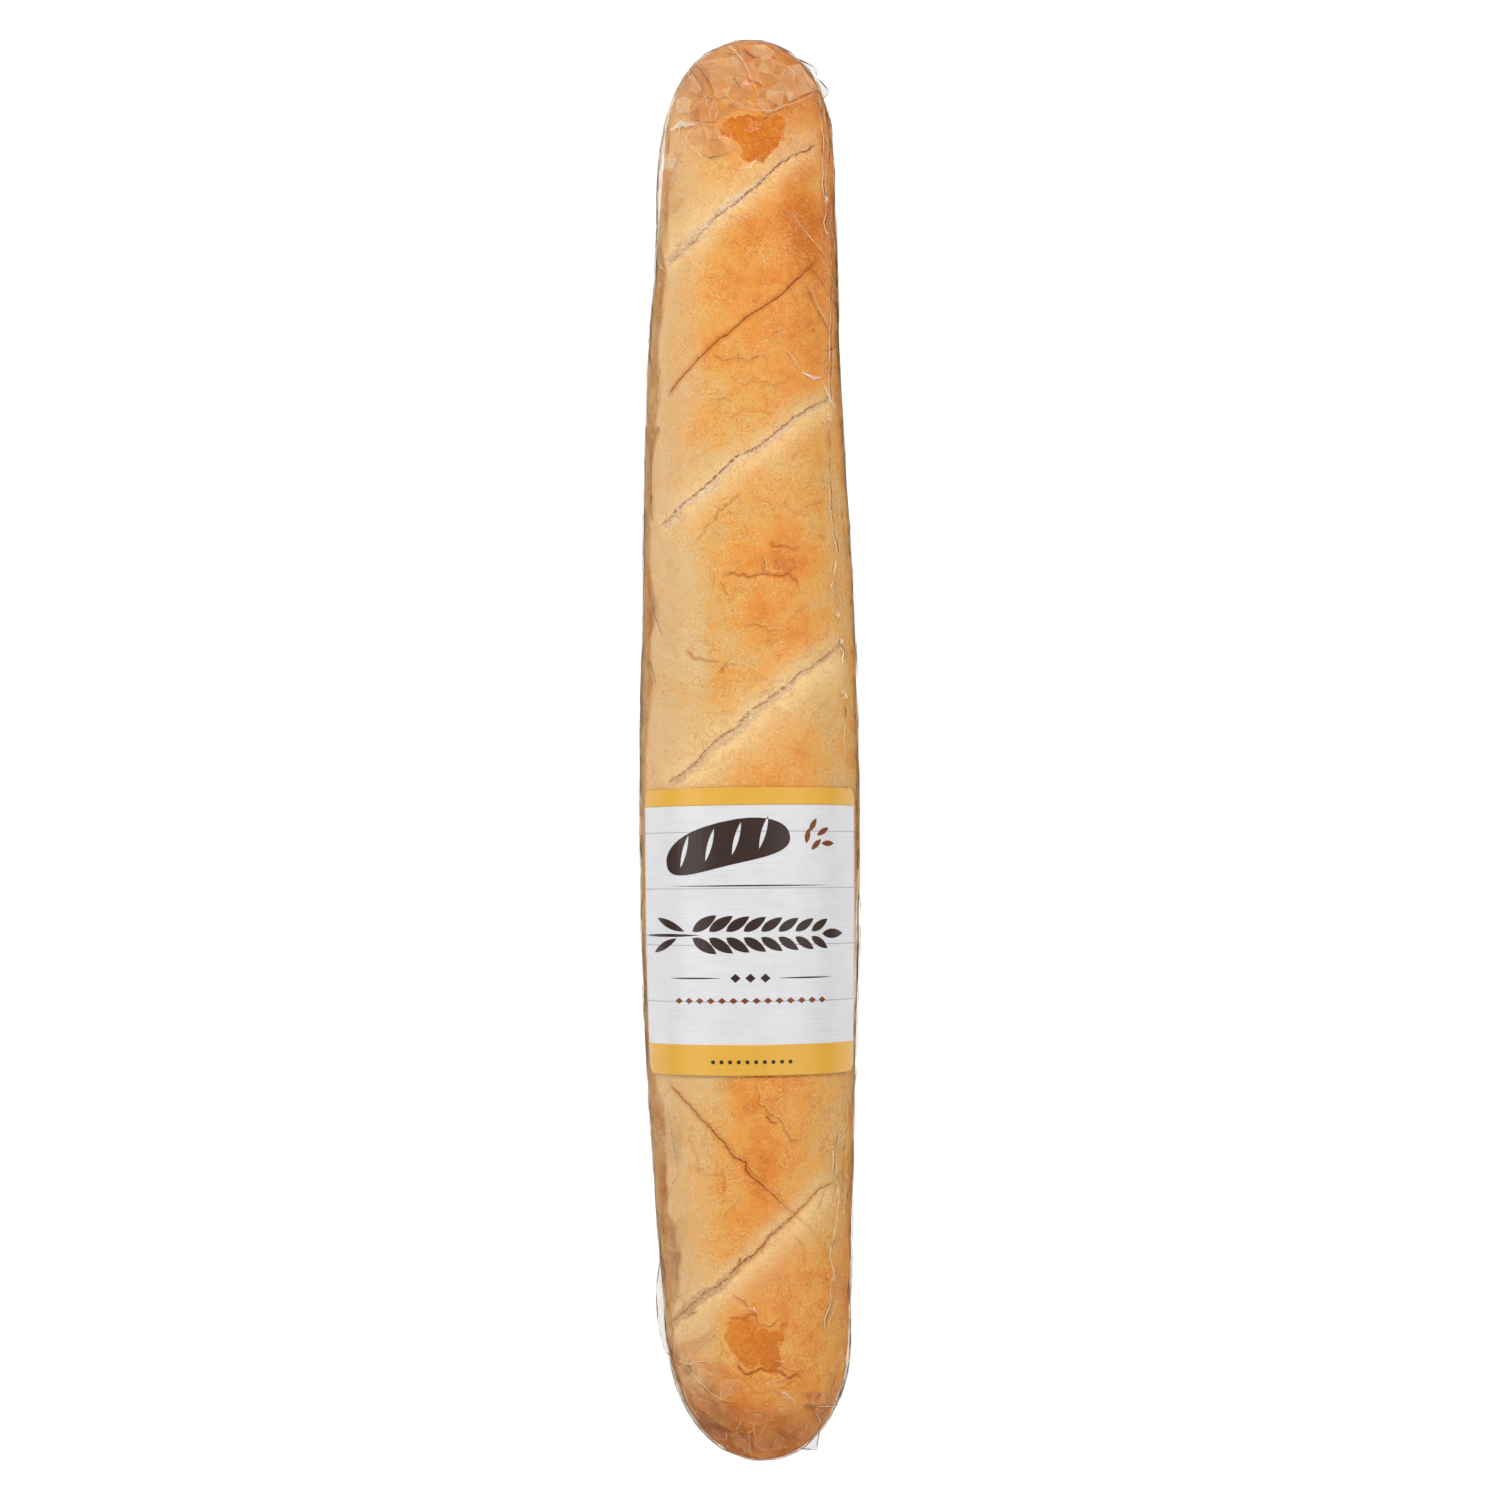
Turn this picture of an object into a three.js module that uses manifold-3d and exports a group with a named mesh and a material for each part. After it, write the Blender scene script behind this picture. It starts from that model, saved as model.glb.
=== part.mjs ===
// A long soft-crusted baguette sealed in tight clear film, with a paper label stuck across its top.
// Units are millimetres. The loaf lies along Y with its flat base on Z = 0 and its scored crust up.
// The film and the loaf in it are one solid, because nothing between them can be reached.
// The label is a thin sheet of its own that follows the film.

import * as THREE from "three";
import { mergeVertices } from "three/addons/utils/BufferGeometryUtils.js";
import Module from "manifold-3d";

const { abs, cos, exp, hypot, max, min, sin, sqrt, PI } = Math;
const DEGREE = PI / 180;

const loaf = {
  length: 505,
  width: 78,
  height: 56,
  fullest: -20, // station of the greatest girth
  taper: 0.26, // share of the girth lost at the tips
  taperPower: 1.6,
  heightPower: 0.9, // the height shrinks a little less than the width
  farTip: 36, // length of the rounded tip at +Y
  nearTip: 46, // and at -Y
  tipPower: 2.2, // superellipse power of both tips
  widestAt: 0.4, // level of the widest line, as a share of the height
  domePower: 2.25, // superellipse powers of the upper and the lower section
  basePower: 2.6,
  sunk: 2.5, // how far the round base would reach below the flat it rests on
};

// The axis wanders a little: the far half leans to -X and the near end drifts to +X.
const bends = {
  rest: -0.3,
  far: { at: 128, by: -1.9, reach: 56 },
  near: { from: -60, reach: 180, by: 4.3, power: 1.5 },
};

// Baker's cuts: at is where a cut crosses the axis, slope is its run along Y for each millimetre of X.
const cutSlope = 0.82;
const cuts = [
  { at: 198, slope: 0.8, depth: 1.5, reach: 3.4 },
  { at: 154, slope: 0.9, depth: 0.7, reach: 2.2 },
  { at: 106, slope: 0.77, depth: 1.5, reach: 3.4 },
  { at: 13.5, slope: 0.8, depth: 1.6, reach: 3.6 },
  { at: -180, slope: 0.85, depth: 1.7, reach: 3.6 },
];
const cutFade = { from: 0.8, over: 0.16 }; // a cut dies out towards the flanks, by share of the half width
const bank = { share: 0.3, away: 2.4, reach: 1.5 }; // the crust rises beside a cut, in shares of its size

// Places where the film stands off the crust, by station and by angle round the axis from +X.
const slack = [
  { at: 206, reach: 20, angle: 174, spread: 24, by: 1.7 },
  { at: -70, reach: 34, angle: 4, spread: 22, by: 0.9 },
  { at: -222, reach: 14, angle: 6, spread: 26, by: 0.7 },
  { at: -236, reach: 12, angle: 172, spread: 30, by: 0.6 },
];

// The spare film is gathered into pleats round both tips; turn is in radians for each millimetre along Y.
const pleats = { count: 9, depth: 0.8, reach: 56, turn: 0.06 };

// Spare film that stuck flat to itself stands out of the sides as thin flaps, outlined from above.
const flapThickness = 1.2;
const flaps = [
  { level: 17, outline: [[10, 240], [15.4, 245.6], [23.4, 242.6], [23.8, 239.2], [28.4, 234],
    [18, 229]] },
  { level: 21, outline: [[-20, -182], [-31.5, -177.5], [-33.4, -192], [-32.6, -204.5], [-30.2, -213.6],
    [-25.6, -216.8], [-18, -210]] },
  { level: 15, outline: [[22, -228], [31, -232.6], [25, -240.6], [23.6, -249], [17.6, -248.4], [12, -240]] },
];

const label = {
  middle: -63.9, // station of its centre
  along: 101.6,
  around: 88, // measured over the curve
  shift: 0.3, // of its centre from the crown, towards +X
  tilt: 0.012, // its ends run this much along Y for each millimetre of X
  corner: 4,
  gap: 0.3,
  thickness: 0.4,
  cornerSteps: 4,
  bodyRows: 12,
  columns: 24,
};

// How finely the surfaces are divided; rings are finer over the upper part, which spans so many degrees.
const mesh = {
  fine: 2.4,
  coarse: 8.5,
  nearCut: 9,
  tipRings: 9,
  upper: 29,
  lower: 11,
  upperFrom: -12,
  upperSpan: 204,
};
const shear = { fade: 50, sideFade: 0.25 }; // the lean of the rings dies out at the tips and low down
const weldWithin = 1e-4;

const smooth = (share) => {
  const t = min(1, max(0, share));
  return t * t * (3 - 2 * t);
};
const bell = (distance, reach) => exp(-((distance / reach) ** 2));
const halfLength = loaf.length / 2;
const tipAt = (station) => (station > 0 ? loaf.farTip : loaf.nearTip);

function axisAt(station) {
  const far = bends.far.by * bell(station - bends.far.at, bends.far.reach);
  const near = bends.near.by * max(0, (bends.near.from - station) / bends.near.reach) ** bends.near.power;
  return bends.rest + far + near;
}

// Half width, rise above the widest line, drop below it, and the level of that line.
function sectionAt(station) {
  const away = abs(station - loaf.fullest) / halfLength;
  const girth = 1 - loaf.taper * away ** loaf.taperPower;
  const inTip = max(0, 1 - (halfLength - abs(station)) / tipAt(station));
  const round = max(0, 1 - inTip ** loaf.tipPower) ** (1 / loaf.tipPower);
  const height = loaf.height * girth ** loaf.heightPower;
  const level = loaf.widestAt * height;
  return {
    half: (loaf.width / 2) * girth * round,
    rise: (height - level) * round,
    drop: (level + loaf.sunk) * round,
    level,
    round,
  };
}

function sectionRadius(section, angle) {
  const upper = sin(angle) >= 0;
  const power = upper ? loaf.domePower : loaf.basePower;
  const upright = upper ? section.rise : section.drop;
  return (abs(cos(angle) / section.half) ** power + abs(sin(angle) / upright) ** power) ** (-1 / power);
}

// How much of a step round the section is a step across it, from 0 to 1.
function acrossShare(section, angle) {
  const step = DEGREE;
  const [before, after] = [angle - step, angle + step].map((a) => [
    sectionRadius(section, a) * cos(a),
    sectionRadius(section, a) * sin(a),
  ]);
  const run = abs(after[0] - before[0]);
  return run / hypot(run, after[1] - before[1]);
}

function cutRelief(section, station, angle, x) {
  if (sin(angle) <= 0) return 0;
  const outTo = abs(cos(angle) * sectionRadius(section, angle)) / section.half;
  const fade = 1 - smooth((outTo - cutFade.from) / cutFade.over);
  const across = acrossShare(section, angle);
  return cuts.reduce((sum, cut) => {
    const distance = abs(station - cut.at - cut.slope * x) / hypot(1, cut.slope * across);
    const groove = -bell(distance, cut.reach);
    const banks = bank.share * bell(distance - bank.away * cut.reach, bank.reach * cut.reach);
    return sum + cut.depth * (groove + banks) * fade;
  }, 0);
}

function filmSlack(section, station, angle) {
  const turn = (angle / DEGREE + 540) % 360;
  const stands = slack.reduce((sum, s) => {
    const off = ((turn - s.angle + 360) % 360) - 180;
    return sum + s.by * bell(station - s.at, s.reach) * bell(off, s.spread);
  }, 0);
  const nearTip = smooth((pleats.reach - (halfLength - abs(station))) / pleats.reach);
  const pleat = pleats.depth * nearTip * cos(pleats.count * angle + pleats.turn * station);
  return (stands + pleat) * section.round;
}

// A point of the film's outer face, lifted outwards by lift.
function skin(station, angle, lift = 0) {
  const section = sectionAt(station);
  const x = axisAt(station);
  const bare = sectionRadius(section, angle);
  const relief = cutRelief(section, station, angle, x + bare * cos(angle));
  const radius = bare + relief + filmSlack(section, station, angle) + lift;
  return [x + radius * cos(angle), station, max(0, section.level + radius * sin(angle))];
}

function geometryOf(points, faces) {
  const geometry = new THREE.BufferGeometry();
  geometry.setAttribute("position", new THREE.Float32BufferAttribute(points.flat(), 3));
  geometry.setIndex(faces.flat());
  geometry.computeVertexNormals();
  return geometry;
}

// Two triangles between four corners given in order round the face.
const quad = (a, b, c, d) => [a, b, c, a, c, d];

// Stations along the axis: close together beside the cuts and in the tips, wider elsewhere.
function stations() {
  const far = halfLength - loaf.farTip;
  const found = [];
  const tipShares = Array.from({ length: mesh.tipRings }, (_, i) => (i + 1) / mesh.tipRings);
  tipShares.slice(0, -1).forEach((t) => found.push(-halfLength + loaf.nearTip * (1 - cos((t * PI) / 2))));
  let at = -halfLength + loaf.nearTip;
  while (at < far - mesh.fine) {
    found.push(at);
    const here = at;
    const nearest = min(...cuts.map((cut) => abs(here - cut.at)));
    at += nearest < mesh.nearCut ? mesh.fine : min(mesh.coarse, max(mesh.fine, nearest - mesh.nearCut));
  }
  tipShares.reverse().forEach((t) => found.push(halfLength - loaf.farTip * (1 - cos((t * PI) / 2))));
  return found;
}

// Each ring leans with the cuts, so that a groove runs along it; the lean dies out at the tips.
function leaningStation(at, angle) {
  if (sin(angle) <= 0) return at;
  const lean = cutSlope * smooth((halfLength - abs(at)) / shear.fade);
  const across = sectionRadius(sectionAt(at), angle) * cos(angle);
  return at + lean * across * smooth(sin(angle) / shear.sideFade);
}

function ringAngles() {
  const { upperFrom, upperSpan } = mesh;
  const upper = Array.from({ length: mesh.upper }, (_, i) => upperFrom + (upperSpan * i) / mesh.upper);
  const lowerFrom = upperFrom + upperSpan;
  const lowerSpan = 360 - upperSpan;
  const lower = Array.from({ length: mesh.lower }, (_, i) => lowerFrom + (lowerSpan * i) / mesh.lower);
  return [...upper, ...lower].map((a) => a * DEGREE);
}

function wrappedLoafGeometry() {
  const angles = ringAngles();
  const n = angles.length;
  const rings = stations();
  const points = rings.flatMap((at) => angles.map((a) => skin(leaningStation(at, a), a)));
  const faces = [];
  for (let i = 0; i + 1 < rings.length; i++) {
    for (let j = 0; j < n; j++) {
      const next = (j + 1) % n;
      faces.push(quad(i * n + j, (i + 1) * n + j, (i + 1) * n + next, i * n + next));
    }
  }
  const ends = [-halfLength, halfLength].map((y) => points.push([axisAt(y), y, sectionAt(y).level]) - 1);
  const last = (rings.length - 1) * n;
  for (let j = 0; j < n; j++) {
    const next = (j + 1) % n;
    faces.push([ends[0], j, next]);
    faces.push([ends[1], last + next, last + j]);
  }
  return geometryOf(points, faces);
}

function flapGeometry({ level, outline }) {
  const shape = new THREE.Shape(outline.map(([x, y]) => new THREE.Vector2(x, y)));
  const geometry = new THREE.ExtrudeGeometry(shape, { depth: flapThickness, bevelEnabled: false });
  return geometry.translate(0, 0, level - flapThickness / 2);
}

const wasm = await Module();
wasm.setup();

function solidOf(geometry) {
  const bare = geometry.clone();
  bare.deleteAttribute("normal");
  bare.deleteAttribute("uv");
  const merged = mergeVertices(bare, weldWithin);
  return new wasm.Manifold(
    new wasm.Mesh({
      numProp: 3,
      vertProperties: merged.attributes.position.array,
      triVerts: new Uint32Array(merged.index.array),
    }),
  );
}

function geometryFrom(solid) {
  const { vertProperties, triVerts } = solid.getMesh();
  const geometry = new THREE.BufferGeometry();
  geometry.setAttribute("position", new THREE.BufferAttribute(vertProperties, 3));
  geometry.setIndex(new THREE.BufferAttribute(triVerts, 1));
  geometry.computeVertexNormals();
  return geometry;
}

// The angle reached by walking over the film from the crown, towards +X when arc is positive.
function angleAtArc(station, arc) {
  const section = sectionAt(station);
  const step = DEGREE * (arc > 0 ? -1 : 1);
  let angle = PI / 2;
  let walked = 0;
  let from = sectionRadius(section, angle);
  for (;;) {
    const to = sectionRadius(section, angle + step);
    const stride = hypot(to * cos(step) - from, to * sin(step));
    if (walked + stride >= abs(arc)) return angle + (step * (abs(arc) - walked)) / stride;
    walked += stride;
    angle += step;
    from = to;
  }
}

function labelPoint(along, around, lift) {
  const flat = label.middle + along;
  const lean = label.tilt * sectionRadius(sectionAt(flat), PI / 2) * sin(around / (loaf.width / 2));
  const station = flat + lean;
  return skin(station, angleAtArc(station, around + label.shift), label.gap + lift);
}

function labelGeometry() {
  const { cornerSteps, bodyRows, columns } = label;
  const halfAlong = label.along / 2;
  const cornerTurns = Array.from({ length: cornerSteps }, (_, i) => (i * PI) / 2 / cornerSteps);
  const rounding = cornerTurns.map((turn) => label.corner * (1 - cos(turn)));
  const straight = label.along - 2 * label.corner;
  const inner = Array.from({ length: bodyRows + 1 }, (_, i) => -straight / 2 + (straight * i) / bodyRows);
  const nearEnd = rounding.map((d) => d - halfAlong);
  const farEnd = rounding.map((d) => halfAlong - d).reverse();
  const rows = [...nearEnd, ...inner, ...farEnd];
  const points = [];
  for (const lift of [0, label.thickness]) {
    for (const along of rows) {
      const intoCorner = max(0, label.corner - (halfAlong - abs(along)));
      const inset = label.corner - sqrt(max(0, label.corner ** 2 - intoCorner ** 2));
      const reach = label.around / 2 - inset;
      for (let j = 0; j <= columns; j++) {
        points.push(labelPoint(along, -reach + (2 * reach * j) / columns, lift));
      }
    }
  }
  const wide = columns + 1;
  const top = rows.length * wide;
  const faces = [];
  for (let i = 0; i + 1 < rows.length; i++) {
    for (let j = 0; j < columns; j++) {
      const a = i * wide + j;
      faces.push(quad(a, a + wide, a + wide + 1, a + 1));
      faces.push(quad(top + a, top + a + 1, top + a + wide + 1, top + a + wide));
    }
    const [left, right] = [i * wide, i * wide + columns];
    faces.push(quad(left, top + left, top + left + wide, left + wide));
    faces.push(quad(right, right + wide, top + right + wide, top + right));
  }
  for (let j = 0; j < columns; j++) {
    const far = (rows.length - 1) * wide + j;
    faces.push(quad(j, j + 1, top + j + 1, top + j));
    faces.push(quad(far, top + far, top + far + 1, far + 1));
  }
  return geometryOf(points, faces);
}

const crust = new THREE.MeshStandardMaterial({ color: 0xe2a664, roughness: 0.35, metalness: 0 });
const paper = new THREE.MeshStandardMaterial({ color: 0xdddde0, roughness: 0.3, metalness: 0 });

function named(name, geometry, material) {
  const piece = new THREE.Mesh(geometry, material);
  piece.name = name;
  return piece;
}

const flapSolids = flaps.map((flap) => solidOf(flapGeometry(flap)));
const joined = flapSolids.reduce((solid, flap) => solid.add(flap), solidOf(wrappedLoafGeometry()));

const baguette = new THREE.Group();
baguette.add(named("wrapped_loaf", geometryFrom(joined), crust));
baguette.add(named("label", labelGeometry(), paper));

export default baguette;
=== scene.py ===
import math

import bpy
import numpy as np
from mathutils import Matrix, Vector
from mathutils.geometry import delaunay_2d_cdt


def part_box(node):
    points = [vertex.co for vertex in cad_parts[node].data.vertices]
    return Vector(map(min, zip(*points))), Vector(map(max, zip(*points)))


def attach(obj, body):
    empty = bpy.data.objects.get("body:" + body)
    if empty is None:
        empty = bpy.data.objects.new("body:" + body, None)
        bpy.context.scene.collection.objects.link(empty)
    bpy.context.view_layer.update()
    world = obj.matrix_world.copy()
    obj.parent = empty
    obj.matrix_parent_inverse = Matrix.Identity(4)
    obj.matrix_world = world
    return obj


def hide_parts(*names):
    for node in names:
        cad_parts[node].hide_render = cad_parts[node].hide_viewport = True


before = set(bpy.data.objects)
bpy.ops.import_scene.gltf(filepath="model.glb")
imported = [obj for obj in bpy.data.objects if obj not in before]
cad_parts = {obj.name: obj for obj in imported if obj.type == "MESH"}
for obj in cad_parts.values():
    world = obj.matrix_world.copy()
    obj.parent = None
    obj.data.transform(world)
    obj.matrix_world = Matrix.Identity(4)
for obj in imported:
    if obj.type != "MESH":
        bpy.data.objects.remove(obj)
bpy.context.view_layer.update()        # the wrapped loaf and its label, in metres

mm = 0.001  # everything below is worked out in millimetres and goes into Blender in metres
halfTurn = math.pi
eyeHeight = 3700.0  # from which the marks of the crust and the film are placed


# the loaf in its film lies along Y, crown up, on its flat base
loafForm = {
    "width": 78.0,
    "height": 56.0,
    "fullest": -20.0,      # station of the greatest girth
    "taper": 0.26,
    "taperPower": 1.6,
    "heightPower": 0.9,
    "farTip": 36.0,        # length of the rounding at +Y
    "nearTip": 46.0,       # and at -Y
    "tipPower": 2.2,
    "widestAt": 0.4,       # level of the widest line, as a share of the height
    "domePower": 2.25,
    "basePower": 2.6,
    "sunk": 2.5,
    "restingBend": -0.3,
    "farBend": (128.0, -1.9, 56.0),          # station, shift in X, reach
    "nearBend": (-60.0, 180.0, 4.3, 1.5),    # where it starts, its length, shift in X, power
    "crustUnderFilm": 0.45,
}
# where the film stands off the crust: station, reach, angle round from +X in degrees, spread, how far
filmSlack = [
    (206, 20, 174, 24, 1.7),
    (-70, 34, 4, 22, 0.9),
    (-222, 14, 6, 26, 0.7),
    (-236, 12, 172, 30, 0.6),
]
low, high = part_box("wrapped_loaf")
halfLength = (high.y - low.y) / 2 / mm


def smoothStep(t):
    t = np.clip(t, 0.0, 1.0)
    return t * t * (3 - 2 * t)


def bell(distance, reach):
    return np.exp(-((distance / reach) ** 2))


def axisAt(station):
    f = loafForm
    farAt, farBy, farReach = f["farBend"]
    nearFrom, nearReach, nearBy, nearPower = f["nearBend"]
    near = np.maximum(0, (nearFrom - station) / nearReach) ** nearPower
    return f["restingBend"] + farBy * bell(station - farAt, farReach) + nearBy * near


def sectionAt(station):
    # half width, rise above the widest line, drop below it, its level, and the share left by the rounded tips
    f = loafForm
    away = np.abs(station - f["fullest"]) / halfLength
    girth = 1 - f["taper"] * away ** f["taperPower"]
    tip = np.where(station > 0, f["farTip"], f["nearTip"])
    inTip = np.clip(1 - (halfLength - np.abs(station)) / tip, 0, 1)
    rounding = np.maximum(1e-9, 1 - inTip ** f["tipPower"]) ** (1 / f["tipPower"])
    height = f["height"] * girth ** f["heightPower"]
    level = f["widestAt"] * height
    half = f["width"] / 2 * girth * rounding
    return half, (height - level) * rounding, (level + f["sunk"]) * rounding, level, rounding


def ringRadius(station, angle):
    half, rise, drop = sectionAt(station)[:3]
    upper = np.sin(angle) >= 0
    power = np.where(upper, loafForm["domePower"], loafForm["basePower"])
    upright = np.where(upper, rise, drop)
    sideways = (np.abs(np.cos(angle)) / half) ** power
    return (sideways + (np.abs(np.sin(angle)) / upright) ** power) ** (-1 / power)


def slackAt(station, angle):
    turn = np.degrees(angle)
    total = np.zeros(np.broadcast(station, angle).shape)
    for at, reach, towards, spread, by in filmSlack:
        off = (turn - towards + 540) % 360 - 180
        total = total + by * bell(station - at, reach) * bell(off, spread)
    return total * sectionAt(station)[4]


def skinPoints(station, angle, lift):
    # points lifted off the smooth loaf; 0 is the outer face of the film
    radius = ringRadius(station, angle) + lift
    level = sectionAt(station)[3]
    x = axisAt(station) + radius * np.cos(angle)
    z = np.maximum(0.0, level + radius * np.sin(angle))
    return np.stack([x, np.broadcast_to(station, x.shape), z], axis=-1)


# Round the loaf, places are given by the distance over the crust from the crown, positive towards +X.
tableStations = np.linspace(-halfLength + 0.3, halfLength - 0.3, 301)
tableAngles = np.linspace(-halfTurn / 2, 1.5 * halfTurn, 361)
ring = skinPoints(tableStations[:, None], tableAngles[None, :], 0.0)
strides = np.hypot(np.diff(ring[..., 0], axis=1), np.diff(ring[..., 2], axis=1))
walked = np.concatenate([np.zeros((len(tableStations), 1)), np.cumsum(strides, axis=1)], axis=1)
acrossTable = walked[:, len(tableAngles) // 2][:, None] - walked
halfGirths = walked[:, -1] / 2
shares = np.linspace(-1, 1, 241)
angleTable = np.array([
    np.interp(shares * reach, row[::-1], tableAngles[::-1])
    for reach, row in zip(halfGirths, acrossTable)
])
widestGirth = halfGirths.max()


def lookUp(table, rowAt, columnAt):
    rowAt = np.clip(rowAt, 0, table.shape[0] - 1.001)
    columnAt = np.clip(columnAt, 0, table.shape[1] - 1.001)
    i, j = rowAt.astype(int), columnAt.astype(int)
    u, v = rowAt - i, columnAt - j
    near = table[i, j] * (1 - v) + table[i, j + 1] * v
    far = table[i + 1, j] * (1 - v) + table[i + 1, j + 1] * v
    return near * (1 - u) + far * u


def rowOf(station):
    return (station - tableStations[0]) / (tableStations[1] - tableStations[0])


def girthAt(station):
    return np.interp(station, tableStations, halfGirths)


def acrossOf(station, angle):
    station, angle = np.broadcast_arrays(np.asarray(station, float), angle)
    return lookUp(acrossTable, rowOf(station), (angle - tableAngles[0]) / (tableAngles[1] - tableAngles[0]))


def angleOf(station, across):
    station, across = np.broadcast_arrays(np.asarray(station, float), across)
    share = across / girthAt(station)
    return lookUp(angleTable, rowOf(station), (share + 1) * (len(shares) - 1) / 2)


def overCrust(plan):
    # places seen from straight above, at the scale of the floor, as distance round the crust and station
    angles = np.linspace(halfTurn - 0.01, 0.01, 240)
    places = []
    for x, y in plan:
        trueX, trueY = x, y
        for _ in range(2):
            radii = ringRadius(trueY, angles)
            angle = np.interp(trueX, axisAt(trueY) + radii * np.cos(angles), angles)
            rise = float(np.interp(-angle, -angles, radii) * np.sin(angle))
            trueX, trueY = x * (1 - rise / eyeHeight), y * (1 - rise / eyeHeight)
        places.append((float(acrossOf(trueY, angle)), trueY))
    return np.array(places)


def unevenness(across, station, size, seed):
    # smooth random hills from -1 to 1, size apart
    lattice = np.random.default_rng(seed).uniform(-1, 1, (128, 128))
    u, v = across / size + 400.0, station / size + 400.0
    i, j = np.floor(u).astype(int), np.floor(v).astype(int)
    s, t = smoothStep(u - i), smoothStep(v - j)
    a, b = lattice[i % 128, j % 128], lattice[(i + 1) % 128, j % 128]
    c, d = lattice[i % 128, (j + 1) % 128], lattice[(i + 1) % 128, (j + 1) % 128]
    return (a * (1 - s) + b * s) * (1 - t) + (c * (1 - s) + d * s) * t


def walkedAlong(path):
    # the distance gone at each point of a path
    return np.concatenate([[0], np.cumsum(np.hypot(*np.diff(path, axis=0).T))])


def placesOn(path, steps, marks):
    return np.stack([np.interp(marks, steps, column) for column in path.T], axis=-1)


def distanceTo(path, across, station):
    # signed distance to a path, positive on its left going along it, and the share of it passed
    best = np.full(across.shape, 1e9)
    signed, passed = np.zeros(across.shape), np.zeros(across.shape)
    lengths = np.hypot(*np.diff(path, axis=0).T)
    starts = np.concatenate([[0], np.cumsum(lengths)])
    for k, (a, b) in enumerate(zip(path[:-1], path[1:])):
        dx, dy = b - a
        t = np.clip(((across - a[0]) * dx + (station - a[1]) * dy) / (dx * dx + dy * dy), 0, 1)
        offX, offY = across - a[0] - t * dx, station - a[1] - t * dy
        d = np.hypot(offX, offY)
        nearer = d < best
        best = np.where(nearer, d, best)
        signed = np.where(nearer, np.where(dx * offY - dy * offX > 0, d, -d), signed)
        passed = np.where(nearer, (starts[k] + t * lengths[k]) / starts[-1], passed)
    return signed, passed


def makePiece(name, points, faces, values=None, smooth=True, faceValues=None, maps=None):
    mesh = bpy.data.meshes.new(name)
    mesh.from_pydata((np.asarray(points) * mm).tolist(), [], [list(map(int, f)) for f in faces])
    for key, numbers in (values or {}).items():
        layer = mesh.attributes.new(key, "FLOAT", "POINT")
        layer.data.foreach_set("value", np.asarray(numbers, np.float32).ravel())
    for key, numbers in (faceValues or {}).items():
        layer = mesh.attributes.new(key, "FLOAT", "FACE")
        layer.data.foreach_set("value", np.asarray(numbers, np.float32).ravel())
    if maps is not None:
        layer = mesh.uv_layers.new(name="flatMap")
        corner = np.zeros(len(mesh.loops), np.int32)
        mesh.loops.foreach_get("vertex_index", corner)
        layer.data.foreach_set("uv", np.asarray(maps, np.float32)[corner].ravel())
    flags = np.full(len(mesh.polygons), smooth) if np.isscalar(smooth) else np.asarray(smooth)
    mesh.polygons.foreach_set("use_smooth", flags.astype(bool))
    mesh.validate()
    mesh.update()
    piece = bpy.data.objects.new(name, mesh)
    bpy.context.scene.collection.objects.link(piece)
    return piece


def gridFaces(rows, columns, closed):
    i, j = np.meshgrid(np.arange(rows - 1), np.arange(columns if closed else columns - 1), indexing="ij")
    nextJ = (j + 1) % columns
    a, b = i * columns + j, i * columns + nextJ
    c, d = (i + 1) * columns + nextJ, (i + 1) * columns + j
    return np.stack([a, b, c, d], axis=-1).reshape(-1, 4).tolist()


def finishPiece(piece, material, slot, *nodes):
    piece.data.materials.append(material)
    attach(piece, "root")
    if nodes:
        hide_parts(*nodes)
    return piece


def seen(red, green, blue):
    # a colour as a screen shows it, made linear
    def linear(v):
        v = v / 255
        return v / 12.92 if v <= 0.04045 else ((v + 0.055) / 1.055) ** 2.4
    return (linear(red), linear(green), linear(blue), 1.0)


class Wire:
    # an output socket that can be added, multiplied and so on
    def __init__(self, recipe, socket):
        self.recipe, self.socket = recipe, socket

    def maths(self, operation, *terms):
        return self.recipe.add("ShaderNodeMath", {"operation": operation}, dict(enumerate(terms)))

    def __add__(self, other):
        return self.maths("ADD", self, other)

    def __radd__(self, other):
        return self.maths("ADD", other, self)

    def __sub__(self, other):
        return self.maths("SUBTRACT", self, other)

    def __rsub__(self, other):
        return self.maths("SUBTRACT", other, self)

    def __mul__(self, other):
        return self.maths("MULTIPLY", self, other)

    def __rmul__(self, other):
        return self.maths("MULTIPLY", other, self)

    def __truediv__(self, other):
        return self.maths("DIVIDE", self, other)

    def __neg__(self):
        return self.maths("MULTIPLY", self, -1.0)

    def __abs__(self):
        return self.maths("ABSOLUTE", self)

    def __pow__(self, other):
        return self.maths("POWER", self, other)

    def most(self, other):
        return self.maths("MAXIMUM", self, other)

    def held(self):
        return self.maths("MINIMUM", self.maths("MAXIMUM", self, 0.0), 1.0)

    def fade(self, start, end, low=0.0, high=1.0):
        # a smooth step from low at start to high at end
        return self.recipe.add(
            "ShaderNodeMapRange", {"interpolation_type": "SMOOTHSTEP"},
            {"Value": self, "From Min": start, "From Max": end, "To Min": low, "To Max": high})


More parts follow.
